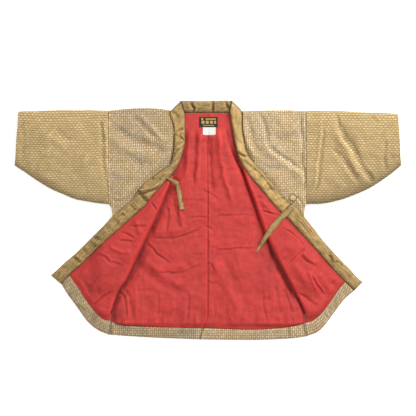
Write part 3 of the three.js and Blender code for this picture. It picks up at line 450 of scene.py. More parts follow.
def quarter_round(distance, radius):
    """Height of a quarter circle: 0 at the edge, 1 at one radius inside it."""
    t = np.clip(distance / radius, 0.0, 1.0)
    return np.sqrt(np.clip(1.0 - (1.0 - t) ** 2, 0.0, 1.0))


def photo_point(pixels):
    """Points of the photograph's frame as millimetres on the floor."""
    p = np.asarray(pixels, float)
    x = (p[:, 0] - PHOTO_MIDDLE_X) * PHOTO_PIXEL_MM
    return np.stack([x, (PHOTO_MIDDLE_Y - p[:, 1]) * PHOTO_PIXEL_MM], axis=1)


def smooth_line(points, steps=12):
    """Catmull-Rom line through the points: each step blends four neighbours by cubic weights."""
    p = np.asarray(points, float)
    p = np.vstack([2 * p[:1] - p[1:2], p, 2 * p[-1:] - p[-2:-1]])
    t = np.linspace(0, 1, steps, endpoint=False)[None, :, None]
    a, b, c, d = (p[i:len(p) - 3 + i, None, :] for i in range(4))
    line = 0.5 * (2 * b + (c - a) * t + (2 * a - 5 * b + 4 * c - d) * t**2
                  + (3 * b - a - 3 * c + d) * t**3)
    return np.vstack([line.reshape(-1, p.shape[1]), p[-2:-1]])


def run_lengths(line):
    """Length along a line up to each of its points."""
    return np.concatenate([[0.0], np.cumsum(np.linalg.norm(np.diff(line, axis=0), axis=1))])


def at_share(line, share):
    """Points at shares of a line's length; the shares may be an array of any shape."""
    run = run_lengths(line)
    want = np.clip(share, 0, 1) * run[-1]
    return np.stack([np.interp(want, run, line[:, k]) for k in range(line.shape[1])], axis=-1)


def edge_steps(radius, count):
    """Distances from an edge, close together where its rounding is steep."""
    return radius * (1 - np.cos(np.linspace(0, math.pi / 2, count)))


def spread(length, first_steps, middle, last_steps):
    """Shares of a length: given distances from both ends, even spacing between them."""
    length = np.atleast_1d(np.asarray(length, float))
    scale = np.minimum(1.0, 0.9 * length / (first_steps[-1] + last_steps[-1]))[:, None]
    near = first_steps[None, :] * scale / length[:, None]
    far = 1 - last_steps[None, ::-1] * scale / length[:, None]
    t = np.linspace(0, 1, middle + 2)[1:-1][None, :]
    inner = near[:, -1:] + (far[:, :1] - near[:, -1:]) * t
    return np.hstack([near, inner, far])


def panel(near, far, rows, columns, first=None, last=None, steps=None):
    """Plan of a cloth panel. Each row runs straight from the near line to the far line; the
    first and last rows are bent to their own lines, and the bend fades linearly between."""
    steps = all_edges(edge_steps(8, 6)) | (steps or {})
    row_shares = spread(run_lengths(near)[-1], steps["first"], rows, steps["last"])[0]
    a, b = at_share(near, row_shares), at_share(far, row_shares)
    across = spread(np.linalg.norm(b - a, axis=1), steps["near"], columns, steps["far"])
    plan = a[:, None, :] + (b - a)[:, None, :] * across[:, :, None]
    v = row_shares[:, None, None]
    straight_first, straight_last = plan[0].copy(), plan[-1].copy()
    if first is not None:
        plan = plan + (1 - v) * (at_share(first, across[0]) - straight_first)
    if last is not None:
        plan = plan + v * (at_share(last, across[-1]) - straight_last)
    return plan


def all_edges(value):
    """The same value for the four edges of a plan."""
    return dict.fromkeys(("near", "far", "first", "last"), value)


def strip_beyond(plan, hem, steps, middle):
    """Rows that carry a panel on from its last row to a hem line."""
    last = plan[-1]
    share = run_lengths(last) / run_lengths(last)[-1]
    goal = at_share(hem, share)
    width = np.linalg.norm(goal - last, axis=1).mean()
    v = spread(width, edge_steps(3, 5), middle, steps)[0][:, None, None]
    return last[None] + v * (goal - last)[None]


def plan_distances(plan):
    """Distance of each point from the near, far, first and last edges, along the grid."""
    across = np.linalg.norm(np.diff(plan, axis=1), axis=2).cumsum(axis=1)
    across = np.hstack([np.zeros((len(plan), 1)), across])
    down = np.linalg.norm(np.diff(plan, axis=0), axis=2).cumsum(axis=0)
    down = np.vstack([np.zeros((1, plan.shape[1])), down])
    return {"near": across, "far": across[:, -1:] - across, "first": down, "last": down[-1:] - down}


def fold_relief(x, y, folds):
    """Sum of folds along wandering lines. A ridge is height times exp(-(distance/width)^2). A
    crease is height times exp(-distance/width), rounded at its bottom, with a wide raised lip on
    its left. All fade at both ends and vary along the way."""
    total = np.zeros_like(x)
    x, y = (x + 5.0 * soft_noise(x, y, 52, 201) + 1.8 * soft_noise(x, y, 17, 202),
            y + 5.0 * soft_noise(x, y, 52, 203) + 1.8 * soft_noise(x, y, 17, 204))
    vary = 1.0 + 0.35 * soft_noise(x, y, 26, 205)
    for w, height, lip, pixels in folds:
        line = smooth_line(photo_point(pixels), 6)
        a, d = line[:-1], np.diff(line, axis=0)
        reach = 5 * w + 12
        near_box = ((x > line[:, 0].min() - reach) & (x < line[:, 0].max() + reach)
                    & (y > line[:, 1].min() - reach) & (y < line[:, 1].max() + reach))
        if not near_box.any():
            continue
        rel = np.stack([x[near_box], y[near_box]], -1)[:, None, :] - a
        t = np.clip((rel * d).sum(-1) / (d**2).sum(-1), 0, 1)
        gap = rel - t[..., None] * d
        dist = np.sqrt((gap**2).sum(-1))
        best = dist.argmin(-1)[:, None]
        near = np.take_along_axis(dist, best, -1)[:, 0]
        side = np.take_along_axis(d[:, 0] * rel[..., 1] - d[:, 1] * rel[..., 0], best, -1)[:, 0]
        share = (best[:, 0] + np.take_along_axis(t, best, -1)[:, 0]) / len(a)
        fade = smoothstep(-0.02, 0.16, share) * smoothstep(1.02, 0.82, share)
        if lip:
            signed = near * np.sign(side)
            soft = np.sqrt(near**2 + (0.35 * w) ** 2) - 0.35 * w
            shape = np.exp(-soft / w) * np.exp(-((near / (4 * w)) ** 2))
            shape = shape - lip * np.exp(-(((signed - 2.0 * w) / (1.5 * w)) ** 2))
        else:
            shape = np.exp(-((near / w) ** 2))
        total[near_box] += height * fade * shape
    return total * vary


def soft_noise(x, y, size, seed):
    """Smooth lumps: random heights on a turned square lattice, blended by smoothstep both ways."""
    table = np.random.default_rng(seed).uniform(-1, 1, (64, 64))
    turn = 0.4 + 1.1 * seed
    u = (x * math.cos(turn) - y * math.sin(turn)) / size + 31.7
    v = (x * math.sin(turn) + y * math.cos(turn)) / size + 17.3
    i, j = np.floor(u).astype(int), np.floor(v).astype(int)
    fu, fv = u - i, v - j
    fu, fv = fu * fu * (3 - 2 * fu), fv * fv * (3 - 2 * fv)
    corner = lambda a, b: table[(i + a) % 64, (j + b) % 64]
    low = corner(0, 0) * (1 - fu) + corner(1, 0) * fu
    high = corner(0, 1) * (1 - fu) + corner(1, 1) * fu
    return low * (1 - fv) + high * fv


def lumps(x, y, seed):
    """Uneven wadding: three sizes of soft noise, each smaller and lower than the last."""
    return (soft_noise(x, y, 74, seed) + 0.55 * soft_noise(x, y, 33, seed + 1)
            + 0.28 * soft_noise(x, y, 15, seed + 2))


def crumple(x, y, size, seed):
    """Thin random creases: valleys where soft noise on a bent lattice passes through zero."""
    bend = 0.35 * size
    u = x + bend * soft_noise(x, y, 2.2 * size, seed + 7)
    v = y + bend * soft_noise(x, y, 2.2 * size, seed + 8)
    large = np.abs(soft_noise(u, v, size, seed))
    small = np.abs(soft_noise(u, v, 0.47 * size, seed + 1))
    return np.sqrt(large + 0.02) + 0.4 * np.sqrt(small + 0.02) - 0.75


def crossing(line, key, x):
    """The other coordinate of a line at given values of one coordinate."""
    line = np.asarray(line, float)
    order = np.argsort(line[:, key])
    return np.interp(x, line[order, key], line[order, 1 - key])


def pad_shell(plan, bottom, top, radii):
    """Vertices and faces of one closed pad: a top and a bottom sheet that share their rim. Near
    each edge both sheets close on their middle height by a quarter round."""
    rows, columns = plan.shape[:2]
    distance = plan_distances(plan)
    closing = np.minimum.reduce([quarter_round(distance[k], r) for k, r in radii.items()])
    middle = (top + bottom) / 2
    upper, lower = middle + (top - middle) * closing, middle + (bottom - middle) * closing
    over = np.arange(rows * columns).reshape(rows, columns)
    under = over.copy()
    inner = np.arange((rows - 2) * (columns - 2)).reshape(rows - 2, columns - 2)
    under[1:-1, 1:-1] = rows * columns + inner
    flat = plan.reshape(-1, 2)
    points = np.vstack([
        np.column_stack([flat, upper.ravel()]),
        np.column_stack([plan[1:-1, 1:-1].reshape(-1, 2), lower[1:-1, 1:-1].ravel()]),
    ])
    quads = lambda g: np.stack([g[:-1, :-1], g[:-1, 1:], g[1:, 1:], g[1:, :-1]], -1).reshape(-1, 4)
    a, b, c = plan[0, 0], plan[0, -1], plan[-1, 0]
    turn = (b[0] - a[0]) * (c[1] - a[1]) - (b[1] - a[1]) * (c[0] - a[0])
    faces = np.vstack([quads(over), quads(under)[:, ::-1]])
    return points, faces if turn > 0 else faces[:, ::-1]


def drifting(uv, relief):
    """Cloth coordinates that bend where the cloth is pushed up, and wander a little."""
    x, y = uv[..., 0], uv[..., 1]
    wander = np.stack([soft_noise(x, y, 95, 301), soft_noise(x, y, 95, 302)], -1)
    return uv + 2.6 * wander + relief[..., None] * np.array([0.25, 0.55])


def shell_uv(uv):
    """Cloth coordinates in metres for a pad: the same for the top and the bottom sheet."""
    return np.vstack([uv.reshape(-1, 2), uv[1:-1, 1:-1].reshape(-1, 2)]) * MM


def relief_light_and_shade(height):
    """Painted light and shade from a relief: height of each point over the mean around it, -1 to 1,
    dark low down and light on ridges; the mean is 12 rounds of averaging with the four neighbours
    in the grid."""
    mean = height
    for _ in range(12):
        wide = np.pad(mean, 1, mode="edge")
        mean = (wide[1:-1, 1:-1] * 2 + wide[:-2, 1:-1] + wide[2:, 1:-1]
                + wide[1:-1, :-2] + wide[1:-1, 2:]) / 6
    return np.clip((height - mean) / 1.4, -1.0, 1.0)


def shell_light_and_shade(height, more=0.0):
    """Painted light and shade of a pad's top sheet from its relief, with more painted light and
    shade where asked, and none for its bottom sheet.
    """
    inner = (height.shape[0] - 2) * (height.shape[1] - 2)
    return np.concatenate([(relief_light_and_shade(height) + more).ravel(), np.zeros(inner)])


def make_mesh(node, shells, slot):
    """The piece that stands for a node, from closed shells; each shell is points in mm, faces,
    cloth coordinates in metres and the painted light and shade of its points."""
    name = f"{node}_cloth"
    points, faces, cloths, painted_shading = zip(*shells)
    starts = np.cumsum([0, *map(len, points)])
    faces = np.vstack([part + start for part, start in zip(faces, starts)])
    points, cloth = np.vstack(points) * MM, np.vstack(cloths)
    mesh = bpy.data.meshes.new(name)
    mesh.vertices.add(len(points))
    mesh.vertices.foreach_set("co", points.astype(np.float32).ravel())
    mesh.loops.add(faces.size)
    mesh.loops.foreach_set("vertex_index", faces.astype(np.int32).ravel())
    mesh.polygons.add(len(faces))
    mesh.polygons.foreach_set("loop_start", np.arange(0, faces.size, 4, dtype=np.int32))
    mesh.polygons.foreach_set("use_smooth", np.ones(len(faces), dtype=bool))
    mesh.update(calc_edges=True)
    layer = mesh.uv_layers.new(name="cloth")
    layer.uv.foreach_set("vector", cloth[faces.ravel()].astype(np.float32).ravel())
    hollow = mesh.attributes.new(name="hollow", type="FLOAT", domain="POINT")
    hollow.data.foreach_set("value", np.concatenate(painted_shading).astype(np.float32))
    mesh.validate()
    mesh.materials.append(MATERIALS[slot])
    piece = bpy.data.objects.new(name, mesh)
    bpy.context.scene.collection.objects.link(piece)
    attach(piece, "root")
    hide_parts(node)
    return piece


def arc_uv(plan, down_first=True):
    """Cloth coordinates that follow a band: distance along it and across it."""
    d = plan_distances(plan)
    middle = d["first"][:, plan.shape[1] // 2][:, None] + np.zeros(plan.shape[:2])
    return np.stack([middle, d["near"]] if down_first else [d["near"], middle], -1)


# Materials


def set_inputs(node, values):
    """Sets inputs of a node by their names."""
    for key, value in values.items():
        node.inputs[key].default_value = value


def new_material(name, roughness, sheen=0.0, specular=0.3):
    """A cloth material with its nodes, its shader and its cloth coordinates ready to use."""
    material = bpy.data.materials.new(name)
    material.use_nodes = True
    n = Nodes(material.node_tree)
    shader = material.node_tree.nodes["Principled BSDF"]
    set_inputs(shader, {"Roughness": roughness, "Specular IOR Level": specular,
                        "Sheen Weight": sheen, "Sheen Roughness": 0.5})
    return material, n, shader, n.put("ShaderNodeUVMap", uv_map="cloth").outputs["UV"]


class Nodes:
    """Short ways to add and join shader nodes in one tree."""

    def __init__(self, tree):
        self.tree = tree

    def put(self, kind, **settings):
        node = self.tree.nodes.new(kind)
        for key, value in settings.items():
            setattr(node, key, value)
        return node

    def join(self, source, socket):
        if isinstance(source, (int, float, tuple)):
            socket.default_value = source
        else:
            self.tree.links.new(source, socket)

    def math(self, operation, *values):
        node = self.put("ShaderNodeMath", operation=operation)
        for socket, value in zip(node.inputs, values):
            self.join(value, socket)
        return node.outputs[0]

    def times(self, first, second):
        return self.math("MULTIPLY", first, second)

    def plus(self, first, second):
        return self.math("ADD", first, second)

    def minus(self, first, second):
        return self.math("SUBTRACT", first, second)

    def split(self, vector):
        node = self.put("ShaderNodeSeparateXYZ")
        self.join(vector, node.inputs[0])
        return node.outputs

    def noise(self, vector, scale, detail=2.0, roughness=0.5):
        node = self.put("ShaderNodeTexNoise")
        self.join(vector, node.inputs["Vector"])
        set_inputs(node, {"Scale": scale, "Detail": detail, "Roughness": roughness})
        return node.outputs["Fac"]

    def scaled(self, vector, factors):
        node = self.put("ShaderNodeMapping")
        node.inputs["Scale"].default_value = factors
        self.join(vector, node.inputs["Vector"])
        return node.outputs["Vector"]

    def mix(self, share, first, second):
        node = self.put("ShaderNodeMix", data_type="RGBA")
        self.join(share, node.inputs["Factor"])
        self.join(first, node.inputs["A"])
        self.join(second, node.inputs["B"])
        return node.outputs["Result"]

    def span(self, value, from_low, from_high, to_low=0.0, to_high=1.0):
        """A value carried from one range to another, and held at its ends."""
        node = self.put("ShaderNodeMapRange", clamp=True)
        self.join(value, node.inputs["Value"])
        ends = {"From Min": from_low, "From Max": from_high, "To Min": to_low, "To Max": to_high}
        for key, number in ends.items():
            self.join(number, node.inputs[key])
        return node.outputs["Result"]

    def bump(self, height, distance, strength, normal=None):
        node = self.put("ShaderNodeBump")
        set_inputs(node, {"Distance": distance, "Strength": strength})
        self.join(height, node.inputs["Height"])
        if normal is not None:
            self.join(normal, node.inputs["Normal"])
        return node.outputs["Normal"]


def group_tree(name, inputs, outputs):
    """An empty shader node group with float or vector inputs and float outputs."""
    tree = bpy.data.node_groups.new(name, "ShaderNodeTree")
    for label, kind, value in inputs:
        socket = tree.interface.new_socket(name=label, in_out="INPUT", socket_type=kind)
        if value is not None:
            socket.default_value = value
    for label in outputs:
        tree.interface.new_socket(name=label, in_out="OUTPUT", socket_type="NodeSocketFloat")
    n = Nodes(tree)
    return tree, n, n.put("NodeGroupInput").outputs, n.put("NodeGroupOutput").inputs


WEAVE_OUTPUTS = ("Spots", "Gaps", "Threads", "Height")


def weave_tree(name, pitch):
    """An empty group for a weave, and the row and column of a point in its repeat, where whole
    numbers are the edges of the cells. The threads wander by noise of about a millimetre."""
    tree, n, given, out = group_tree(
        name, [("Cloth", "NodeSocketVector", None), ("Row pitch", "NodeSocketFloat", pitch[0]),
               ("Column pitch", "NodeSocketFloat", pitch[1])], WEAVE_OUTPUTS)
    drift = n.times(n.minus(n.noise(given["Cloth"], 60.0, 2.0), 0.5), 0.0046)
    place = n.split(given["Cloth"])
    row = n.math("DIVIDE", n.plus(place["Y"], drift), given["Row pitch"])
    column = n.math("DIVIDE", n.plus(place["X"], drift), given["Column pitch"])
    return tree, n, out, row, column


def cell_random(n, column, row):
    """An even random number for each cell of a repeat."""
    cell = n.put("ShaderNodeCombineXYZ")
    n.join(n.math("FLOOR", column), cell.inputs["X"])
    n.join(n.math("FLOOR", row), cell.inputs["Y"])
    white = n.put("ShaderNodeTexWhiteNoise", noise_dimensions="2D")
    n.join(cell.outputs[0], white.inputs["Vector"])
    return white.outputs["Value"]


def uneven(n, column, row, least):
    """Share from least to 1 for each cell of a repeat, for gaps that show here and not there."""
    return n.span(cell_random(n, n.plus(column, 57.0), row), 0.0, 1.0, least, 1.0)


def from_middle(n, value):
    """Distance from the middle of a cell, 0 to 0.5."""
    return n.math("ABSOLUTE", n.minus(n.math("FRACT", value), 0.5))


def join_outputs(n, out, *values):
    """Joins a weave's four values to its group's outputs, in the order of WEAVE_OUTPUTS."""
    for label, value in zip(WEAVE_OUTPUTS, values):
        n.join(value, out[label])


def float_weave_group():
    """Rows of short raised floats, every second row shifted by half a float, some of them
    fainter; dark gaps between the rows and fine threads across them."""
    tree, n, out, row, column = weave_tree("staggered_float_weave", SLEEVE_PITCH)
    column = n.plus(column, n.times(n.math("FLOORED_MODULO", n.math("FLOOR", row), 2.0), 0.5))
    along = n.span(from_middle(n, column), 0.30, 0.14)
    across = n.span(from_middle(n, row), 0.30, 0.08)
    strength = n.span(cell_random(n, column, row), 0.0, 1.0, 0.35, 1.0)
    spots = n.times(n.times(along, across), strength)
    gaps = n.times(n.span(from_middle(n, row), 0.30, 0.5), uneven(n, column, row, 0.5))
    threads = n.span(from_middle(n, n.times(column, 4.0)), 0.2, 0.5)
    join_outputs(n, out, spots, gaps, threads, n.minus(spots, n.times(gaps, 0.7)))
    return tree


def spot_weave_group():
    """Upright spots in rows and columns, every second one stronger as on a chessboard; gaps
    between the rows and dark threads between the columns."""
    tree, n, out, row, column = weave_tree("spot_column_weave", BODY_PITCH)
    aside, off_row = from_middle(n, column), from_middle(n, row)
    shape = n.times(n.span(aside, 0.40, 0.06), n.span(off_row, 0.48, 0.12))
    sum_of_cells = n.plus(n.math("FLOOR", column), n.math("FLOOR", row))
    chess = n.span(n.math("FLOORED_MODULO", sum_of_cells, 2.0), 0.0, 1.0, 0.44, 0.76)
    uneven_share = n.times(n.minus(cell_random(n, column, row), 0.5), 0.60)
    spots = n.times(shape, n.plus(chess, uneven_share))
    gaps = n.times(n.span(off_row, 0.34, 0.5), uneven(n, column, row, 0.25))
    threads = n.times(n.span(aside, 0.30, 0.5), uneven(n, row, column, 0.35))
    height = n.minus(spots, n.times(n.math("MAXIMUM", gaps, threads), 0.6))
    join_outputs(n, out, spots, gaps, threads, height)
    return tree


def yarn_group():
    """Fine plain weave: thin threads both ways as two sine waves, with slubs along them."""
    tree, n, given, out = group_tree(
        "fine_yarn", [("Cloth", "NodeSocketVector", None), ("Pitch", "NodeSocketFloat", 0.0012),
                      ("Slub", "NodeSocketFloat", 0.5)], ["Height", "Slubs"])
    place = n.split(given["Cloth"])
    turn = n.math("DIVIDE", 2 * math.pi, given["Pitch"])
    warp, weft = (n.math("SINE", n.times(place[axis], turn)) for axis in "XY")
    slubs = n.noise(n.scaled(given["Cloth"], (60.0, 620.0, 1.0)), 1.0, 3.0, 0.6)
    slubs = n.times(slubs, given["Slub"])
    n.join(n.plus(n.times(n.times(warp, weft), 0.5), slubs), out["Height"])
    n.join(slubs, out["Slubs"])
    return tree


def wear_group():
    """Uneven tone: wide soft blotches and small flecks, both centred on 0."""
    tree, n, given, out = group_tree(
        "uneven_tone", [("Place", "NodeSocketVector", None)], ["Blotches", "Flecks"])
    wide = n.minus(n.noise(given["Place"], 9.0, 3.0), 0.5)
    small = n.minus(n.noise(given["Place"], 42.0, 2.0), 0.5)
    n.join(n.plus(wide, n.times(small, 0.6)), out["Blotches"])
    n.join(n.minus(n.noise(given["Place"], 240.0, 3.0, 0.7), 0.5), out["Flecks"])
    return tree


def use_group(n, tree, **values):
    """Places a node group in a material with its own values."""
    node = n.put("ShaderNodeGroup", node_tree=tree)
    for label, value in values.items():
        n.join(value, node.inputs[label.replace("_", " ")])
    return node.outputs


def toned(n, color, blotches, flecks, amount, fleck_amount):
    """A colour made lighter and darker by blotches, flecks and the point attribute of painted light
    and shade.
    """
    value = n.plus(n.times(blotches, amount), n.times(flecks, fleck_amount))
    # Painted light and shade from the point attribute lightens and darkens the colour.
    hollow = n.put("ShaderNodeAttribute", attribute_name="hollow").outputs["Fac"]
    value = n.plus(value, n.times(hollow, PAINTED_LIGHT_SHARE))
    node = n.put("ShaderNodeHueSaturation")
    n.join(color, node.inputs["Color"])
    n.join(n.plus(value, 1.0), node.inputs["Value"])
    return node.outputs["Color"]


def yarn_and_tone(n, groups, cloth, pitch, slub):
    """The two groups that every cloth uses."""
    place = n.put("ShaderNodeTexCoord").outputs["Object"]
    yarn = use_group(n, groups["yarn"], Cloth=cloth, Pitch=pitch, Slub=slub)
    return yarn, use_group(n, groups["tone"], Place=place)


def patterned_cloth(name, groups, weave, pitch, colours, shares, roughness):
    """Cloth with pale spots over a ground, dark gaps between rows and dark threads between
    columns; the shares say how strongly each of the three shows."""
    material, n, shader, cloth = new_material(name, roughness, sheen=0.05)
    pattern = use_group(n, groups[weave], Cloth=cloth, Row_pitch=pitch[0], Column_pitch=pitch[1])
    yarn, tone = yarn_and_tone(n, groups, cloth, 0.0015, 0.5)
    color, gap, spot = colours
    for part, over in (("Gaps", gap), ("Threads", gap), ("Spots", spot)):
        color = n.mix(n.times(pattern[part], shares[part]), color, over)
    n.join(toned(n, color, tone["Blotches"], tone["Flecks"], 0.22, 0.40),
           shader.inputs["Base Color"])
    n.join(n.span(pattern["Spots"], 0.0, 1.0, roughness + 0.03, roughness - 0.07),
           shader.inputs["Roughness"])
    fine = n.bump(yarn["Height"], 0.0003, 0.5)
    n.join(n.bump(pattern["Height"], 0.0007, 0.6, fine), shader.inputs["Normal"])
    return material


def plain_cloth(name, groups, color, *, pitch, slub, roughness, sheen, specular, shares, crinkle):
    """Plain woven cloth: threads, slubs, streaks across and lengthwise, uneven tone and small
    crinkles; the shares say how strongly streaks, blotches and flecks show."""
    material, n, shader, cloth = new_material(name, roughness, sheen=sheen, specular=specular)
    yarn, tone = yarn_and_tone(n, groups, cloth, pitch, slub)
    darker = tuple(c * 0.62 for c in color[:3]) + (1.0,)
    threads = n.mix(n.span(yarn["Height"], -0.4, 0.9, 0.75, 0.0), color, darker)
    streaks = n.minus(n.noise(n.scaled(cloth, (42.0, 230.0, 1.0)), 1.0, 3.0, 0.65), 0.5)
    lengthwise = n.minus(n.noise(n.scaled(cloth, (210.0, 13.0, 1.0)), 1.0, 2.0, 0.6), 0.5)
    shade = n.plus(tone["Blotches"], n.times(streaks, shares["streaks"]))
    shade = n.plus(shade, n.times(lengthwise, shares["lengthwise"]))
    n.join(toned(n, threads, shade, tone["Flecks"], shares["blotches"], shares["flecks"]),
           shader.inputs["Base Color"])
    n.join(n.span(yarn["Slubs"], 0.0, 0.6, roughness + 0.06, roughness - 0.05),
           shader.inputs["Roughness"])
    fine = n.bump(n.plus(yarn["Height"], streaks), 0.0004, 0.6)
    small = n.noise(n.scaled(cloth, (38.0, 60.0, 1.0)), 1.0, 4.0, 0.6)
    n.join(n.bump(small, crinkle, 0.6, fine), shader.inputs["Normal"])
    return material


def woven_label():
    """Black label with plain gold bars in place of its lettering."""
    material, n, shader, cloth = new_material("black_woven_label", 0.7)
    x, y, width, depth, _ = (size * MM for size in LABELS["label"])
    place = n.split(cloth)
    u = n.math("DIVIDE", n.minus(place["X"], x), width)
    v = n.math("DIVIDE", n.minus(place["Y"], y), depth)
    mask = 0.0
    for bar_u, bar_v, long, high in LABEL_BARS:
        du = n.math("ABSOLUTE", n.minus(u, bar_u))
        dv = n.math("ABSOLUTE", n.minus(v, bar_v))
        inside_u = n.span(du, long / 2 - 0.01, long / 2 + 0.01, 1.0, 0.0)
        inside_v = n.span(dv, high / 2 - 0.02, high / 2 + 0.02, 1.0, 0.0)
        mask = n.math("MAXIMUM", mask, n.times(inside_u, inside_v))
    gold = n.mix(mask, linear(24, 21, 18), linear(160, 132, 62))
    threads = n.noise(n.scaled(cloth, (400.0, 1900.0, 1.0)), 1.0, 2.0)
    n.join(toned(n, gold, n.minus(threads, 0.5), 0.0, 0.5, 0.0), shader.inputs["Base Color"])
    n.join(n.bump(n.plus(threads, mask), 0.0003, 0.6), shader.inputs["Normal"])
    return material


def label_tape():
    """Bare white tape of the care label."""
    material, n, shader, cloth = new_material("white_label_tape", 0.66)
    threads = n.noise(n.scaled(cloth, (900.0, 2100.0, 1.0)), 1.0, 2.0)
    color = n.mix(n.span(threads, 0.2, 0.8), linear(178, 176, 172), linear(193, 191, 187))
    n.join(color, shader.inputs["Base Color"])
    n.join(n.bump(threads, 0.0002, 0.5), shader.inputs["Normal"])
    return material


def linear(red, green, blue):
    """A colour from display values of 0 to 255."""
    s = np.array([red, green, blue]) / 255.0
    rgb = np.where(s <= 0.04045, s / 12.92, ((s + 0.055) / 1.055) ** 2.4)
    return (float(rgb[0]), float(rgb[1]), float(rgb[2]), 1.0)


MATERIALS = {}


def make_materials(colours):
    """All cloth finishes of the jacket, from the colours in the panel."""
    groups = {"floats": float_weave_group(), "spots": spot_weave_group(), "yarn": yarn_group(),
              "tone": wear_group()}
    tints = lambda *keys: [tuple(getattr(colours, key)) for key in keys]
    MATERIALS["sleeve"] = patterned_cloth(
        "mustard_float_weave", groups, "floats", SLEEVE_PITCH,
        tints("sleeve", "sleeve_gap", "sleeve_float"),
        {"Gaps": 0.85, "Threads": 0.16, "Spots": 0.9}, 0.82)
    MATERIALS["body"] = patterned_cloth(
        "beige_spot_weave", groups, "spots", BODY_PITCH, tints("body", "body_gap", "body_float"),
        {"Gaps": 0.62, "Threads": 0.56, "Spots": 0.95}, 0.84)
    MATERIALS["collar"] = plain_cloth(
        "khaki_slub_cloth", groups, *tints("collar"), pitch=0.0018, slub=0.9, roughness=0.80,
        sheen=0.06, specular=0.25, crinkle=0.0034,
        shares={"streaks": 2.4, "lengthwise": 0.0, "blotches": 0.9, "flecks": 1.8})
    MATERIALS["lining"] = plain_cloth(
        "coral_lining_cloth", groups, *tints("lining"), pitch=0.0010, slub=0.35, roughness=0.58,
        sheen=0.0, specular=0.34, crinkle=0.0022,
        shares={"streaks": 0.6, "lengthwise": 1.3, "blotches": 0.24, "flecks": 0.4})
    MATERIALS["label"], MATERIALS["care_label"] = woven_label(), label_tape()


# Pieces


def flap_bottom(side, x, y):
    """Underside of a turned-back front: level over the chest, lower over the lining alone, and
    down to the floor by a smoothstep outside the side seam."""
    outside = (x - side["side_x"]) * side["sign"]
    over = (FLAP_BOTTOM - LEAF_BOTTOM) * smoothstep(-250, LEAF_END_Y - 9, y)
    over = over + LEAF_BOTTOM * smoothstep(-320, -282, y)
    return over * (1 - smoothstep(FALL_START, FALL_END, outside))


def chest_collar_bottom(side, y):
    """Underside of the collar on the chest: up over the neck edge, then on to the chest."""
    over_neck = LEAF_BOTTOM * (1 - smoothstep(NECK_Y + 14, 380, y))
    roll = 1 - smoothstep(side["roll"][0], side["roll"][1], y)
    return over_neck + (FLAP_BOTTOM - LEAF_BOTTOM) * roll


def gathers(run, aside, seed):
    """Small uneven puckers along a sewn edge: soft noise of 12 and 27 mm along the seam that
    hardly changes away from it."""
    slow = aside * 0.22
    return 0.8 * soft_noise(run, slow, 12, seed) + 0.6 * soft_noise(run, slow, 27, seed + 1)


def moved(line, dx):
    """A line moved sideways."""
    return np.asarray(line, float) + np.array([dx, 0.0])


def back_plan(side, rows, columns, inset):
    """Plan of half the back, from the shoulder to the hem facing."""
    near = np.vstack([side["side"], [(side["side_x"], side["back_facing"][0][1])]])
    near = moved(near, -side["sign"] * inset)
    far = moved([(0, NECK_Y), (0, -312), (-13, -345.5)], side["sign"] * SEAM_INSET)
    shoulder = np.vstack([smooth_line(side["shoulder"]), [(side["neck_x"], NECK_Y), (0, NECK_Y)]])
    facing = smooth_line(side["back_facing"])
    start = inset / run_lengths(facing)[-1]
    facing = at_share(facing, np.linspace(start, 1, 120))
    return panel(near, far, rows, columns, shoulder, facing)


def from_limits(x, y):
    """Distances across the open part of the back lining: from its left and its right limit, each
    of which is the collar's free edge and then the fold."""
    limits = []
    for name, count in (("left", 8), ("right", 7)):
        side = SIDES[name]
        line = np.vstack([side["chest_free"][:count], side["fold"][1:]])
        limits.append(crossing(line, 1, y))
    return x - limits[0], limits[1] - x


def back_relief(x, y):
    """Folds and lumps of the back lining, only where neither front nor collar covers it."""
    from_left, from_right = from_limits(x, y)
    inside = np.minimum(from_left, from_right)
    ends = smoothstep(-344, -326, y) * (1 - smoothstep(268, 300, y))
    low = 1.0 - smoothstep(60, 120, y)
    crown = 5.5 * smoothstep(8, 40, from_left) * smoothstep(2, 70, from_right + 30)
    crown -= 5.0 * low * (1.0 - smoothstep(0, 20, from_left))
    shape = 1.4 + crown + 1.7 * fold_relief(x, y, LINING_FOLDS) + 2.7 * lumps(x, y, 11)
    shape += 1.5 * crumple(x, y, 44, 14) + 0.7 * crumple(x, y, 17, 17)
    seam = -1.5 * np.exp(-((x - 1.6 * soft_noise(y, y * 0, 60, 19)) / 3.0) ** 2)
    hem_pull = 2.4 * gathers(x, y, 3) * smoothstep(-262, -330, y)
    shape = np.clip(shape + seam + hem_pull, -3.6, 13.0)
    room = np.where(shape > 0, smoothstep(0, 14, inside), smoothstep(-16, -4, inside))
    return ends * room * shape


def lining_shade(x, y):
    """Painted shade on the back lining beside the collar and both folds: it fades unevenly, within
    one to three centimetres of each. Thin lines of painted crease shade lie over it."""
    uneven = 1.0 + 0.8 * soft_noise(x, y, 24, 401) + 0.4 * soft_noise(x, y, 9, 402)
    uneven = np.clip(uneven, 0.4, 2.2)
    left, right = (np.maximum(distance, 0) for distance in from_limits(x, y))
    low = 1.0 - smoothstep(80, 150, y)
    wide = 6.0 + 22.0 * np.exp(-(((y + 175.0) / 95.0) ** 2))
    strong = 1.15 - 0.75 * smoothstep(-90, -20, y)
    shade = (0.5 + 0.7 * low) * np.exp(-left / (12.0 * uneven))
    shade = shade + strong * np.exp(-right / (wide * uneven))
    jagged = np.clip(1.0 + 1.4 * soft_noise(x * 0.6, y, 30, 408), 0.2, 2.2)
    shade += 0.55 * (1.0 - smoothstep(-150, -60, y)) * np.exp(-(left / (22.0 * jagged)) ** 2)
    return -1.7 * shade * smoothstep(-346, -300, y) + 0.6 * crumple(x, y, 26, 405)


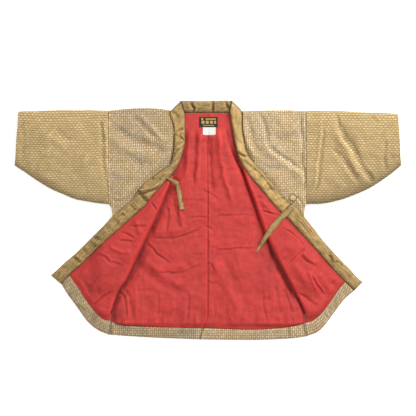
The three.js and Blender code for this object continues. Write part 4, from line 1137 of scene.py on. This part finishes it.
class HantenSizes(bpy.types.PropertyGroup):
    """Sizes that a user may change."""

    lump_height: bpy.props.FloatProperty(
        name="Wadding lumps", description="Height of the uneven wadding", default=0.0020,
        min=0.0, max=0.004, unit="LENGTH")
    collar_thickness: bpy.props.FloatProperty(
        name="Collar thickness", description="Thickness of the padded collar band", default=0.013,
        min=0.006, max=0.02, unit="LENGTH")
    key_light: bpy.props.FloatProperty(
        name="Key light", description="Power of the large light from the right", default=318.0,
        min=0.0, max=5000.0, subtype="POWER")
    fill_light: bpy.props.FloatProperty(
        name="Fill light", description="Power of the light from the lower left", default=64.0,
        min=0.0, max=5000.0, subtype="POWER")


def colour_property(name, description, default):
    return bpy.props.FloatVectorProperty(
        name=name, description=description, default=default, size=4, min=0.0, max=1.0,
        subtype="COLOR")


class HantenColours(bpy.types.PropertyGroup):
    """Colours of the cloths."""

    sleeve: colour_property("Sleeve ground", "Mustard ground of the sleeves", linear(160, 136, 90))
    sleeve_gap: colour_property("Sleeve gaps", "Dark gaps between the sleeves' rows",
                                linear(98, 76, 41))
    sleeve_float: colour_property("Sleeve floats", "Pale floats on the sleeves",
                                  linear(207, 185, 153))
    body: colour_property("Body ground", "Brown beige ground of the body", linear(155, 129, 83))
    body_gap: colour_property("Body gaps", "Dark gaps in the body weave", linear(100, 76, 50))
    body_float: colour_property("Body spots", "Whitish spots on the body", linear(212, 202, 190))
    collar: colour_property("Collar", "Khaki of collar and ties", linear(143, 117, 73))
    lining: colour_property("Lining", "Coral red of the lining", linear(181, 47, 42))


def size_of(key):
    """A size from the panel, in mm."""
    return getattr(bpy.context.scene.hanten_sizes, key) / MM


def padded(plan, bottom, top, radii, cloth, tones):
    """A closed pad with cloth coordinates and tones, as make_mesh wants it."""
    return (*pad_shell(plan, bottom, top, radii), shell_uv(cloth), tones)


def facing_of(plan, main):
    """1 on the rows of the hem facing that were added to a panel, 0 on the panel's own."""
    on_facing = np.zeros(plan.shape[:2])
    on_facing[len(main):] = 1.0
    return on_facing


class HANTEN_OT_materials(bpy.types.Operator):
    """Makes the cloth finishes"""

    bl_idname = "hanten.materials"
    bl_label = "Cloth finishes"

    def execute(self, context):
        make_materials(context.scene.hanten_colours)
        return {"FINISHED"}


class HANTEN_OT_backs(bpy.types.Operator):
    """Makes the two halves of the back with their turned-up hems"""

    bl_idname = "hanten.backs"
    bl_label = "Back panels"

    def execute(self, context):
        for name, side in SIDES.items():
            main = back_plan(side, 60, 34, SEAM_INSET)
            strip = strip_beyond(main, smooth_line(side["back_hem"]), edge_steps(7, 7), 8)
            plan = np.vstack([main, strip[1:]])
            x, y = plan[..., 0], plan[..., 1]
            d = plan_distances(plan)
            on_facing = facing_of(plan, main)
            from_line = d["first"] - d["first"][len(main) - 1]
            rise = on_facing * quarter_round(np.maximum(from_line - 0.2, 0), FACING_ROUND)
            lump = lumps(x, y, 23) * size_of("lump_height")
            bottom = 0.3 * quarter_round(d["first"], 30) * (1 + np.clip(lump, -1, 1))
            bottom = bottom * (1 - on_facing)
            puff = (0.9 * gathers(x, y, 7) + 0.5 * lump + fold_relief(x, y, HEM_FOLDS)) * rise
            top = CLOTH + (WADDED - CLOTH) * rise + puff
            # Painted shade on the hem facing, darker on the left side.
            painted_hem_shade = HEM_PAINTED_SHADE[name] * on_facing * (1 + 0.35 * soft_noise(x, y, 22, 406))
            shell = padded(plan, bottom, top, {"near": 1.2, "far": 0.8, "first": 4.5, "last": 6.0},
                           plan, shell_light_and_shade(top, painted_hem_shade))
            piece = make_mesh(f"back_{name}", [shell], "body")
        return {"FINISHED"}


class HANTEN_OT_back_linings(bpy.types.Operator):
    """Makes the two halves of the back lining with their creases"""

    bl_idname = "hanten.back_linings"
    bl_label = "Back linings"

    def drawn_in(self, plan, side):
        """The lining ends 6 mm inside shoulder and side seam, where the outer cloth closes: a
        point moves by 6 mm at the edge and not at all from 45 mm on."""
        inset, reach = 6.0, 45
        d = plan_distances(plan)
        x, y = plan[..., 0], plan[..., 1]
        across = inset * (1 - smoothstep(0, reach, d["near"])) * smoothstep(-215, -190, y)
        down = inset * (1 - smoothstep(0, reach, d["first"])) * smoothstep(100, 116, np.abs(x))
        return np.stack([x - side["sign"] * across, y - down], axis=-1)

    def execute(self, context):
        for name, side in SIDES.items():
            plan = back_plan(side, 236, 118, 0.3)[1:]
            plan[-1] += np.array([0, 0.7])
            plan = self.drawn_in(plan, side)
            x, y = plan[..., 0], plan[..., 1]
            top = WADDED + back_relief(x, y)
            bottom = np.full(x.shape, LINING_BOTTOM)
            shell = padded(plan, bottom, top, {"near": 2, "far": 0.8, "first": 1.0, "last": 5.0},
                           plan, shell_light_and_shade(top, lining_shade(x, y)))
            piece = make_mesh(f"back_lining_{name}", [shell], "lining")
        return {"FINISHED"}


def flap_plan(side, rows, columns):
    """Plan of a turned-back front, from fold to collar and from chest to hem facing."""
    band = np.vstack([
        smooth_line(side["chest_free"])[side["band_start"] * 12:],
        smooth_line(side["turned_seam"])[1:-12],
    ])
    beside_fold = [FOLD_ROUND + 0.5, FOLD_ROUND + 3, FOLD_ROUND + 7]
    steps = {
        "near": np.concatenate([edge_steps(FOLD_ROUND, 9), beside_fold]),
        "far": edge_steps(7, 7), "first": edge_steps(4, 4), "last": edge_steps(5, 6),
    }
    return panel(smooth_line(side["fold"]), band, rows, columns, None, smooth_line(side["facing"]),
                 steps)


class HANTEN_OT_fronts(bpy.types.Operator):
    """Makes the outer cloth of the fronts: the chest, and the turned-back part under its lining"""

    bl_idname = "hanten.fronts"
    bl_label = "Fronts"

    def execute(self, context):
        for name, side in SIDES.items():
            shells = [self.chest(name, side), self.flap(name, side)]
            if name == "right":
                shells.append(self.patch(name, side))
            piece = make_mesh(f"front_{name}", shells, "body")
        return {"FINISHED"}

    def chest(self, name, side):
        """The chest: near line is armhole and side seam, far line is the collar's seam and then
        the fold, and the relief stops short of what lies on it."""
        corner = side["shoulder"][-1]
        seam = smooth_line(side["chest_seam"])[:73]
        seam = np.vstack([[corner], seam[seam[:, 1] < corner[1] - 2]])
        inside = moved(smooth_line(side["fold"]), side["sign"] * FOLD_ROUND * 1.12)
        far = np.vstack([seam, inside[inside[:, 1] > LEAF_END_Y]])
        near = np.vstack([side["side"], [(side["side_x"], LEAF_END_Y)]])
        steps = {"last": edge_steps(3, 3), "first": edge_steps(9, 8), "near": edge_steps(7, 7)}
        plan = panel(near, far, 124, 70, smooth_line(side["shoulder"]), None, steps)
        x, y = plan[..., 0], plan[..., 1]
        d = plan_distances(plan)
        pucker = 1.6 * gathers(y, x, 9) * np.exp(-d["near"] / 12.0)
        pucker += 2.0 * gathers(d["first"], d["far"], 4) * np.exp(-d["far"] / 13.0)
        top = self.chest_top(name, side, x, y, pucker)
        closes = 1 - smoothstep(3.4, 5.2, np.minimum(d["first"], d["near"]))
        bottom = LEAF_BOTTOM - (LEAF_BOTTOM - LINING_BOTTOM) * closes
        # Painted shade along the collar's seam and the fold, and over the whole left chest; painted
        # light along the armhole seam.
        tones = -1.6 * np.exp(-d["far"] / 3.4) * (1 + 0.6 * soft_noise(x, y, 14, 404))
        tones += ARMHOLE_PAINTED_LIGHT[name] * np.exp(-d["near"] / 2.5) + CHEST_PAINTED_SHADE[name]
        return padded(plan, bottom, top, {"near": 1.0, "far": 3, "first": 7, "last": 2},
                      drifting(plan, top - LEAF_TOP), shell_light_and_shade(top, tones))

    def chest_top(self, name, side, x, y, pucker=0.0):
        """Height of the chest, with relief only where no other layer lies on it."""
        clear = y - crossing(side["chest_limit"], 0, x)
        relief = 2.8 + 1.2 * fold_relief(x, y, CHEST_FOLDS[name])
        relief = relief + size_of("lump_height") * lumps(x, y, 31) + 0.8 * crumple(x, y, 38, 34)
        return LEAF_TOP + smoothstep(4, 30, clear) * np.clip(relief + pucker, -6.0, 9.0)

    def patch(self, name, side):
        """A small square of the same cloth, sewn where the tie begins."""
        near, far = map(np.array, PATCH_EDGES)
        plan = panel(near, far, 10, 10, None, None, all_edges(edge_steps(1.4, 4)))
        x, y = plan[..., 0], plan[..., 1]
        d = plan_distances(plan)
        bottom = self.chest_top(name, side, x, y) + 1.8
        top = bottom + 2.6 + 1.8 * smoothstep(0, 7, np.minimum.reduce(list(d.values())))
        shade = 2.0 - 2.4 * np.exp(-d["near"] / 1.6)
        for edge in ("first", "far"):
            shade = shade - 4.8 * np.exp(-(d[edge] / 3.6) ** 2)
        return padded(plan, bottom, top, all_edges(1.2), plan, shell_light_and_shade(top * 0, shade))

    def flap(self, name, side):
        """The turned-back part: thin under the lining, full thickness in its hem facing."""
        whole = flap_plan(side, 34, 50)
        main = whole[:, 9:]
        strip = strip_beyond(whole, smooth_line(side["hem"]), edge_steps(7, 7), 8)
        share = run_lengths(strip[0]) / run_lengths(strip[0])[-1]
        ends = edge_steps(5, 6) / 160
        wanted = np.linspace(0, 1, main.shape[1])[5:-5] * 0.94 + 0.03
        wanted = np.sort(np.concatenate([ends, wanted, 1 - ends]))[:main.shape[1]]
        wanted[0], wanted[-1] = 0.0, 1.0
        columns = [[np.interp(wanted, share, row[:, k]) for k in range(2)] for row in strip]
        strip = np.moveaxis(np.stack(columns), 1, 2)
        plan = np.vstack([main, strip[1:]])
        x, y = plan[..., 0], plan[..., 1]
        bottom = flap_bottom(side, x, y)
        on_facing = facing_of(plan, main)
        from_line = np.linalg.norm(plan - strip[0][None], axis=2)
        rise = on_facing * quarter_round(from_line, FACING_ROUND)
        near = plan_distances(plan)["near"]
        puff = (0.9 * gathers(near, from_line, 13) + 0.6 * lumps(x, y, 41)) * rise
        puff = puff + fold_relief(x, y, HEM_FOLDS) * rise
        top = bottom + CLOTH + (WADDED - CLOTH) * rise + puff
        cloth = plan.copy()
        cloth[len(main):] = arc_uv(plan, False)[len(main):]
        # Painted shade on the hem facing, darker on the left side.
        painted_hem_shade = HEM_PAINTED_SHADE[name] * on_facing * (1 + 0.35 * soft_noise(x, y, 22, 407))
        return padded(plan, bottom, top, {"near": 2, "far": 2, "first": 2, "last": 6}, cloth,
                      shell_light_and_shade(top - bottom, painted_hem_shade))


class HANTEN_OT_front_linings(bpy.types.Operator):
    """Makes the lining of the turned-back fronts, rolled over the fold"""

    bl_idname = "hanten.front_linings"
    bl_label = "Front linings"

    def execute(self, context):
        for name, side in SIDES.items():
            plan = flap_plan(side, 206, 74)
            plan[-1] = plan[-1] * 0.85 + plan[-2] * 0.15
            x, y = plan[..., 0], plan[..., 1]
            bottom = flap_bottom(side, x, y)
            low = np.minimum(bottom, LEAF_BOTTOM)
            d = plan_distances(plan)
            inner = smoothstep(3, 24, np.minimum(d["far"], d["last"]))
            relief = 0.6 + 1.8 * fold_relief(x, y, FLAP_FOLDS[name]) + 2.2 * lumps(x, y, 51)
            relief += 1.4 * crumple(x, y, 44, 54) + 0.6 * crumple(x, y, 17, 57)
            relief = relief * smoothstep(2, 16, d["near"]) + 4.6
            flat = bottom + WADDED + inner * np.clip(relief, -3.0, 11.0)
            top = low + 8 + (flat - low - 8) * quarter_round(d["near"], FOLD_ROUND * 1.5)
            under = np.where(d["near"] <= FOLD_ROUND + 0.1, low, bottom + LINING_BOTTOM)
            # Painted light along the rolled fold, more on the right flap's upper part, and painted
            # shade along the collar seam.
            painted_fold_shading = 0.8 * np.exp(-((d["near"] - 5) / 7) ** 2) - 1.2 * np.exp(-d["far"] / 2.6)
            painted_fold_shading += FOLD_PAINTED_LIGHT[name] * np.exp(-((d["near"] / 8) ** 2)) * smoothstep(-170, -30, y)
            shell = padded(plan, under, top, {"near": 5, "far": 4, "first": 3, "last": 5},
                           arc_uv(plan), shell_light_and_shade(flat, painted_fold_shading))
            piece = make_mesh(f"front_lining_{name}", [shell], "lining")
        return {"FINISHED"}


class HANTEN_OT_sleeves(bpy.types.Operator):
    """Makes the sleeves as flattened tubes that are open at the cuff"""

    bl_idname = "hanten.sleeves"
    bl_label = "Sleeves"

    def execute(self, context):
        for name, side in SIDES.items():
            piece = self.sleeve(name, side)
        return {"FINISHED"}

    def sleeve(self, name, side):
        """A closed profile carried from armhole to cuff and back inside: a flattened oval outside,
        and the same oval drawn in by the wall's thickness for the slot between the two layers."""
        upper = spread(290, edge_steps(18, 12), 78, edge_steps(18, 12))[0]
        lower = spread(290, edge_steps(12, 7), 16, edge_steps(12, 7))[0][-2:0:-1]
        share = np.concatenate([upper, lower])
        on_top = np.arange(len(share)) < len(upper)
        outer_rows = spread(300, edge_steps(6, 6), 92, edge_steps(5, 6))[0]

        plan, from_edge, along = self.ring(side, share, outer_rows, 0.0)
        x, y = plan[..., 0], plan[..., 1]
        from_end = np.minimum(along, along[-1] - along)
        full = smoothstep(3, 34, from_edge)
        relief = 2.0 + 1.25 * fold_relief(x, y, SLEEVE_FOLDS[name])
        relief = relief + size_of("lump_height") * lumps(x, y, 61) + 0.8 * crumple(x, y, 42, 64)
        relief = relief + 1.6 * gathers(y, x, 17) * np.exp(-along / 12.0)
        # Painted shade toward the sleeve's lower edge, fading out near its top, and painted light
        # along the armhole seam; the relief adds painted light and shade of its own.
        painted_edge_shade = SLEEVE_EDGE_PAINTED_SHADE[name] * np.exp(-from_edge / 42.0) * (1 - smoothstep(250, 300, y))
        painted_edge_shade = painted_edge_shade - SLEEVE_SEAM_PAINTED_LIGHT[name] * np.exp(-along / 2.5)
        middle = SLEEVE_MIDDLE
        top = (SLEEVE_TOP - middle) * quarter_round(from_edge, 17.0)
        top = top + full * np.clip(relief, -7.0, 8.0)
        top = middle + top * (0.96 + 0.04 * quarter_round(from_end, 2.0))
        low = middle - middle * quarter_round(from_edge, 12.0)
        outside = np.dstack([plan, np.where(on_top, top, low)])
        outer_uv = drifting(plan, np.where(on_top, full * relief, 0.0))

        plan, from_edge, _ = self.ring(side, share, np.linspace(1, 0, 12), SLEEVE_WALL)
        slot = smoothstep(0, 24, from_edge)
        inside = np.dstack([plan, np.where(on_top, middle + 2.8 * slot, middle - 0.4 * slot)])
        depth = relief_light_and_shade(np.where(on_top, full * relief, 0.0)) - painted_edge_shade
        depth = np.vstack([np.where(on_top, depth, 0.0), np.zeros(plan.shape[:2])])
        loops, uv = np.vstack([outside, inside]), np.vstack([outer_uv, plan])
        return self.tube(name, side, loops, uv, depth)

    def ring(self, side, share, rows, wall):
        """Plan of the profile at each row, the distance of its points from the sleeve's long
        edges, and the distance along the sleeve."""
        a, b = (at_share(smooth_line(side[key]), rows) for key in ("sleeve_top", "sleeve_bottom"))
        from_body = smoothstep(0.0, 0.15, rows)
        a[:, 1] += 1.2 * soft_noise(a[:, 0], 0 * rows, 41, 95) * from_body - 0.6 * from_body
        b[:, 1] += 1.5 * soft_noise(b[:, 0], 0 * rows, 37, 96) * from_body + 0.6 * from_body
        for line in (a, b):
            line[:, 0] += side["sign"] * 2 * SEAM_INSET
        width = np.linalg.norm(b - a, axis=1)[:, None]
        part = wall / width + share[None, :] * (1 - 2 * wall / width)
        plan = a[:, None] + (b - a)[:, None] * part[..., None]
        cuff = smoothstep(0.75, 1.0, rows)[:, None]
        ragged = 1.3 * soft_noise(plan[..., 1], 0 * plan[..., 1], 36, 97) - 0.9
        plan[..., 0] += side["sign"] * cuff * ragged
        return plan, np.minimum(part, 1 - part) * width - wall, run_lengths(a)[:, None]

    def tube(self, name, side, loops, uv, depth):
        """Closes a row of loops into a ring: each loop joins the next, and the last the first."""
        rows, columns = loops.shape[:2]
        index = np.arange(rows * columns).reshape(rows, columns)
        right = np.roll(index, -1, axis=1)
        down = np.roll(index, -1, axis=0)
        diagonal = np.roll(down, -1, axis=1)
        faces = np.stack([index, right, diagonal, down], -1).reshape(-1, 4)
        if side["sign"] < 0:
            faces = faces[:, ::-1]
        shell = (loops.reshape(-1, 3), faces, uv.reshape(-1, 2) * MM, depth.ravel())
        return make_mesh(f"sleeve_{name}", [shell], "sleeve")


def sideways(line):
    """Unit vectors to the left of a line."""
    ahead = np.gradient(line, axis=0)
    ahead /= np.linalg.norm(ahead, axis=1)[:, None]
    return np.stack([-ahead[:, 1], ahead[:, 0]], 1)


def band_shell(name, near, far, bottom_of, seed, rows):
    """A padded band: a domed section between two lines, with folds, uneven wadding, and puckers
    that fade away from both sewn edges."""
    far = smooth_line(far)
    run = run_lengths(far)
    sway = 1.3 * soft_noise(run, run * 0, 34, seed + 9)
    sway = sway * smoothstep(0, 12, np.minimum(run, run[-1] - run))
    far = far + sideways(far) * sway[:, None]
    plan = panel(smooth_line(near), far, rows, 22, None, None,
                 {"near": edge_steps(14, 10), "far": edge_steps(14, 10), "first": edge_steps(3, 4),
                  "last": edge_steps(3, 4)})
    x, y = plan[..., 0], plan[..., 1]
    d = plan_distances(plan)
    from_side = np.minimum(d["near"], d["far"])
    rounded = quarter_round(from_side, 15.0)
    relief = 1.4 * fold_relief(x, y, BAND_FOLDS[name]) + 1.5 * lumps(x, y, seed)
    relief = relief + 1.2 * crumple(x, y, 21, seed + 4)
    relief += 1.5 * gathers(d["first"], d["near"], seed) * np.exp(-from_side / 9.0)
    base = bottom_of(x, y)
    edge = 3.2
    top = base + edge + (size_of("collar_thickness") - edge) * rounded
    top = np.maximum(top + relief * np.clip(rounded * 1.3, 0, 1), base + 2.6)
    # Painted shade along both sewn edges and at both ends where the bands meet, and painted light
    # and shade on the middle of each band.
    tones = -1.5 * np.exp(-d["near"] / 2.6) - 1.0 * np.exp(-d["far"] / 2.2)
    tones -= 3.0 * (np.exp(-d["first"] / 3.0) + np.exp(-d["last"] / 3.0))
    tones += BAND_MIDDLE_LIGHT_AND_SHADE[name] * smoothstep(2, 14, d["near"]) * smoothstep(2, 10, d["far"])
    return padded(plan, base, top, {"near": 9, "far": 9, "first": 3.0, "last": 3.0}, arc_uv(plan),
                  shell_light_and_shade(relief, tones))


class HANTEN_OT_collar(bpy.types.Operator):
    """Makes the padded collar band: the neck, the chest and the turned-back parts"""

    bl_idname = "hanten.collar"
    bl_label = "Collar band"

    def execute(self, context):
        for name, side in SIDES.items():
            self.band(f"collar_{name}", side["chest_seam"], side["chest_free"],
                      lambda x, y: chest_collar_bottom(side, y), 71, 190)
            self.band(f"collar_{name}_turned", side["turned_seam"], side["turned_free"],
                      lambda x, y: flap_bottom(side, x, y), 73, 210)
        self.band("collar_back", NECK_SEAM, NECK_FREE, lambda x, y: np.zeros(x.shape), 75, 90)
        return {"FINISHED"}

    def band(self, name, *shape):
        piece = make_mesh(name, [band_shell(name, *shape)], "collar")


class HANTEN_OT_ties(bpy.types.Operator):
    """Makes the two tie tapes"""

    bl_idname = "hanten.ties"
    bl_label = "Ties"

    def execute(self, context):
        for name, strips in TIES.items():
            shells, lengths, widths = zip(*map(self.strip, strips))
            piece = make_mesh(f"tie_{name}", shells, "collar")
        return {"FINISHED"}

    def strip(self, tie):
        """A flat tape along a line: width and lift follow the line, its middle a little cupped,
        and it stays above the back lining. Also its length and mean width."""
        line = smooth_line(np.column_stack([tie["middle"], tie["lift"], tie["width"]]), 16)
        middle, lift, width = line[:, :2], line[:, 2], line[:, 3]
        aside = sideways(middle)
        share = spread(17.0, edge_steps(1.6, 5), 9, edge_steps(1.6, 5))[0] - 0.5
        plan = middle[:, None] + aside[:, None] * (share[None, :] * width[:, None])[..., None]
        x, y = plan[..., 0], plan[..., 1]
        cup = 0.5 * np.cos(share * math.pi)[None, :] + 0.25 * lumps(x, y, 81)
        cup += 0.7 * np.exp(-((share / 0.10) ** 2))[None, :]
        floor = WADDED + back_relief(x, y).max(axis=1, keepdims=True) + 0.6
        bottom = np.maximum(lift[:, None], floor) + cup
        # Painted light along the middle of the tape and painted shade toward both its edges.
        edge = 0.7 * np.exp(-((share / 0.12) ** 2)) - 1.5 * smoothstep(0.30, 0.48, np.abs(share))
        tones = shell_light_and_shade(cup, np.broadcast_to(edge, cup.shape))
        shell = padded(plan, bottom, bottom + 2.4, all_edges(1.2), arc_uv(plan), tones)
        return shell, float(run_lengths(line[:, :3])[-1]), float(width.mean())


class HANTEN_OT_labels(bpy.types.Operator):
    """Makes the woven label with plain gold bars, and the bare care label"""

    bl_idname = "hanten.labels"
    bl_label = "Labels"

    def execute(self, context):
        for name, sizes in LABELS.items():
            self.label(name, *sizes)
        return {"FINISHED"}

    def label(self, name, x, y, width, depth, corner):
        near = np.array([(x - width / 2, y + depth / 2), (x - width / 2, y - depth / 2)])
        far = near + np.array([width, 0.0])
        plan = panel(near, far, 20, 30, None, None, all_edges(edge_steps(1.2, 4)))
        if corner:
            low = smoothstep(y - depth / 2 + corner, y - depth / 2, plan[..., 1])
            plan[..., 0] = x + (plan[..., 0] - x) * (1 - 2 * corner / width * low**2)
        px, py = plan[..., 0], plan[..., 1]
        curl = 0.5 * smoothstep(0.3, 1.0, np.abs(px - x) / (width / 2)) ** 2
        curl = curl + 0.3 * soft_noise(px, py, 17, 91)
        bottom = WADDED + back_relief(px, py) + 0.4 + np.clip(curl, 0, 1)
        # Its colour takes painted light and shade from its curl.
        shell = padded(plan, bottom, bottom + 0.9, all_edges(0.5), plan, shell_light_and_shade(curl))
        piece = make_mesh(name, [shell], name)


class HANTEN_OT_stage(bpy.types.Operator):
    """Makes the pale floor, the soft lights and the camera over the jacket"""

    bl_idname = "hanten.stage"
    bl_label = "Floor, lights and camera"

    def execute(self, context):
        self.floor()
        self.lights(context)
        self.camera(context)
        return {"FINISHED"}

    def floor(self):
        mesh = bpy.data.meshes.new("floor")
        half = 8.0
        corners = [(-half, -half, 0), (half, -half, 0), (half, half, 0), (-half, half, 0)]
        mesh.from_pydata(corners, [], [(0, 1, 2, 3)])
        floor = bpy.data.objects.new("floor", mesh)
        bpy.context.scene.collection.objects.link(floor)
        material = bpy.data.materials.new("pale_floor")
        material.use_nodes = True
        # It glows a little, as a light table does, so that the jacket throws no grey shadow.
        set_inputs(material.node_tree.nodes["Principled BSDF"], {
            "Base Color": (0.94, 0.94, 0.94, 1.0), "Roughness": 0.9, "Specular IOR Level": 0.1,
            "Emission Color": (1.0, 1.0, 1.0, 1.0), "Emission Strength": 0.34,
        })
        mesh.materials.append(material)
        floor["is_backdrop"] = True

    def lights(self, context):
        world = bpy.data.worlds.new("studio")
        world.use_nodes = True
        set_inputs(world.node_tree.nodes["Background"],
                   {"Color": (1.0, 1.0, 1.0, 1.0), "Strength": 0.50})
        context.scene.world = world
        context.scene.view_settings.view_transform = "Standard"
        settings = context.scene.hanten_sizes
        for label, place, size, power in (
            ("key", (2.35, 2.75, 2.85), 2.5, settings.key_light),
            ("fill", (-1.6, -1.4, 4.0), 3.4, settings.fill_light),
        ):
            data = bpy.data.lights.new(label, "AREA")
            data.shape = "DISK"
            data.size = size
            data.energy = power
            lamp = bpy.data.objects.new(label, data)
            lamp.location = x, y, z = place
            lamp.rotation_euler = (math.atan2(math.hypot(x, y), z), 0.0, math.atan2(x, -y))
            context.scene.collection.objects.link(lamp)

    def camera(self, context):
        data = bpy.data.cameras.new("camera")
        data.lens = 100.0
        data.sensor_width = 36.0
        camera = bpy.data.objects.new("camera", data)
        pixel, middle = PHOTO_PIXEL_MM * MM, PHOTO_SIDE / 2
        true_size_height = 0.012
        camera.location = (
            (middle - PHOTO_MIDDLE_X) * pixel,
            (PHOTO_MIDDLE_Y - middle) * pixel,
            PHOTO_SIDE * pixel * data.lens / data.sensor_width + true_size_height,
        )
        context.scene.collection.objects.link(camera)
        context.scene.camera = camera


OPERATORS = (
    HANTEN_OT_materials, HANTEN_OT_backs, HANTEN_OT_back_linings, HANTEN_OT_fronts,
    HANTEN_OT_front_linings, HANTEN_OT_sleeves, HANTEN_OT_collar, HANTEN_OT_ties,
    HANTEN_OT_labels, HANTEN_OT_stage,
)


class HANTEN_PT_panel(bpy.types.Panel):
    """Lists the jacket's sizes, colours and pieces"""

    bl_idname = "HANTEN_PT_panel"
    bl_label = "Hanten jacket"
    bl_space_type = "VIEW_3D"
    bl_region_type = "UI"
    bl_category = "Hanten"

    def draw(self, context):
        for group in (context.scene.hanten_sizes, context.scene.hanten_colours):
            for key in group.__annotations__:
                self.layout.prop(group, key)
        for operator in OPERATORS:
            self.layout.operator(operator.bl_idname)


def register():
    for cls in (HantenSizes, HantenColours, *OPERATORS, HANTEN_PT_panel):
        bpy.utils.register_class(cls)
    bpy.types.Scene.hanten_sizes = bpy.props.PointerProperty(type=HantenSizes)
    bpy.types.Scene.hanten_colours = bpy.props.PointerProperty(type=HantenColours)


def unregister():
    del bpy.types.Scene.hanten_sizes
    del bpy.types.Scene.hanten_colours
    for cls in (HANTEN_PT_panel, *reversed(OPERATORS), HantenColours, HantenSizes):
        bpy.utils.unregister_class(cls)


def main():
    register()
    for operator in OPERATORS:
        getattr(bpy.ops.hanten, operator.bl_idname.split(".")[1])()
    visual = [list(corner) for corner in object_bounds()]


if __name__ == "__main__":
    main()
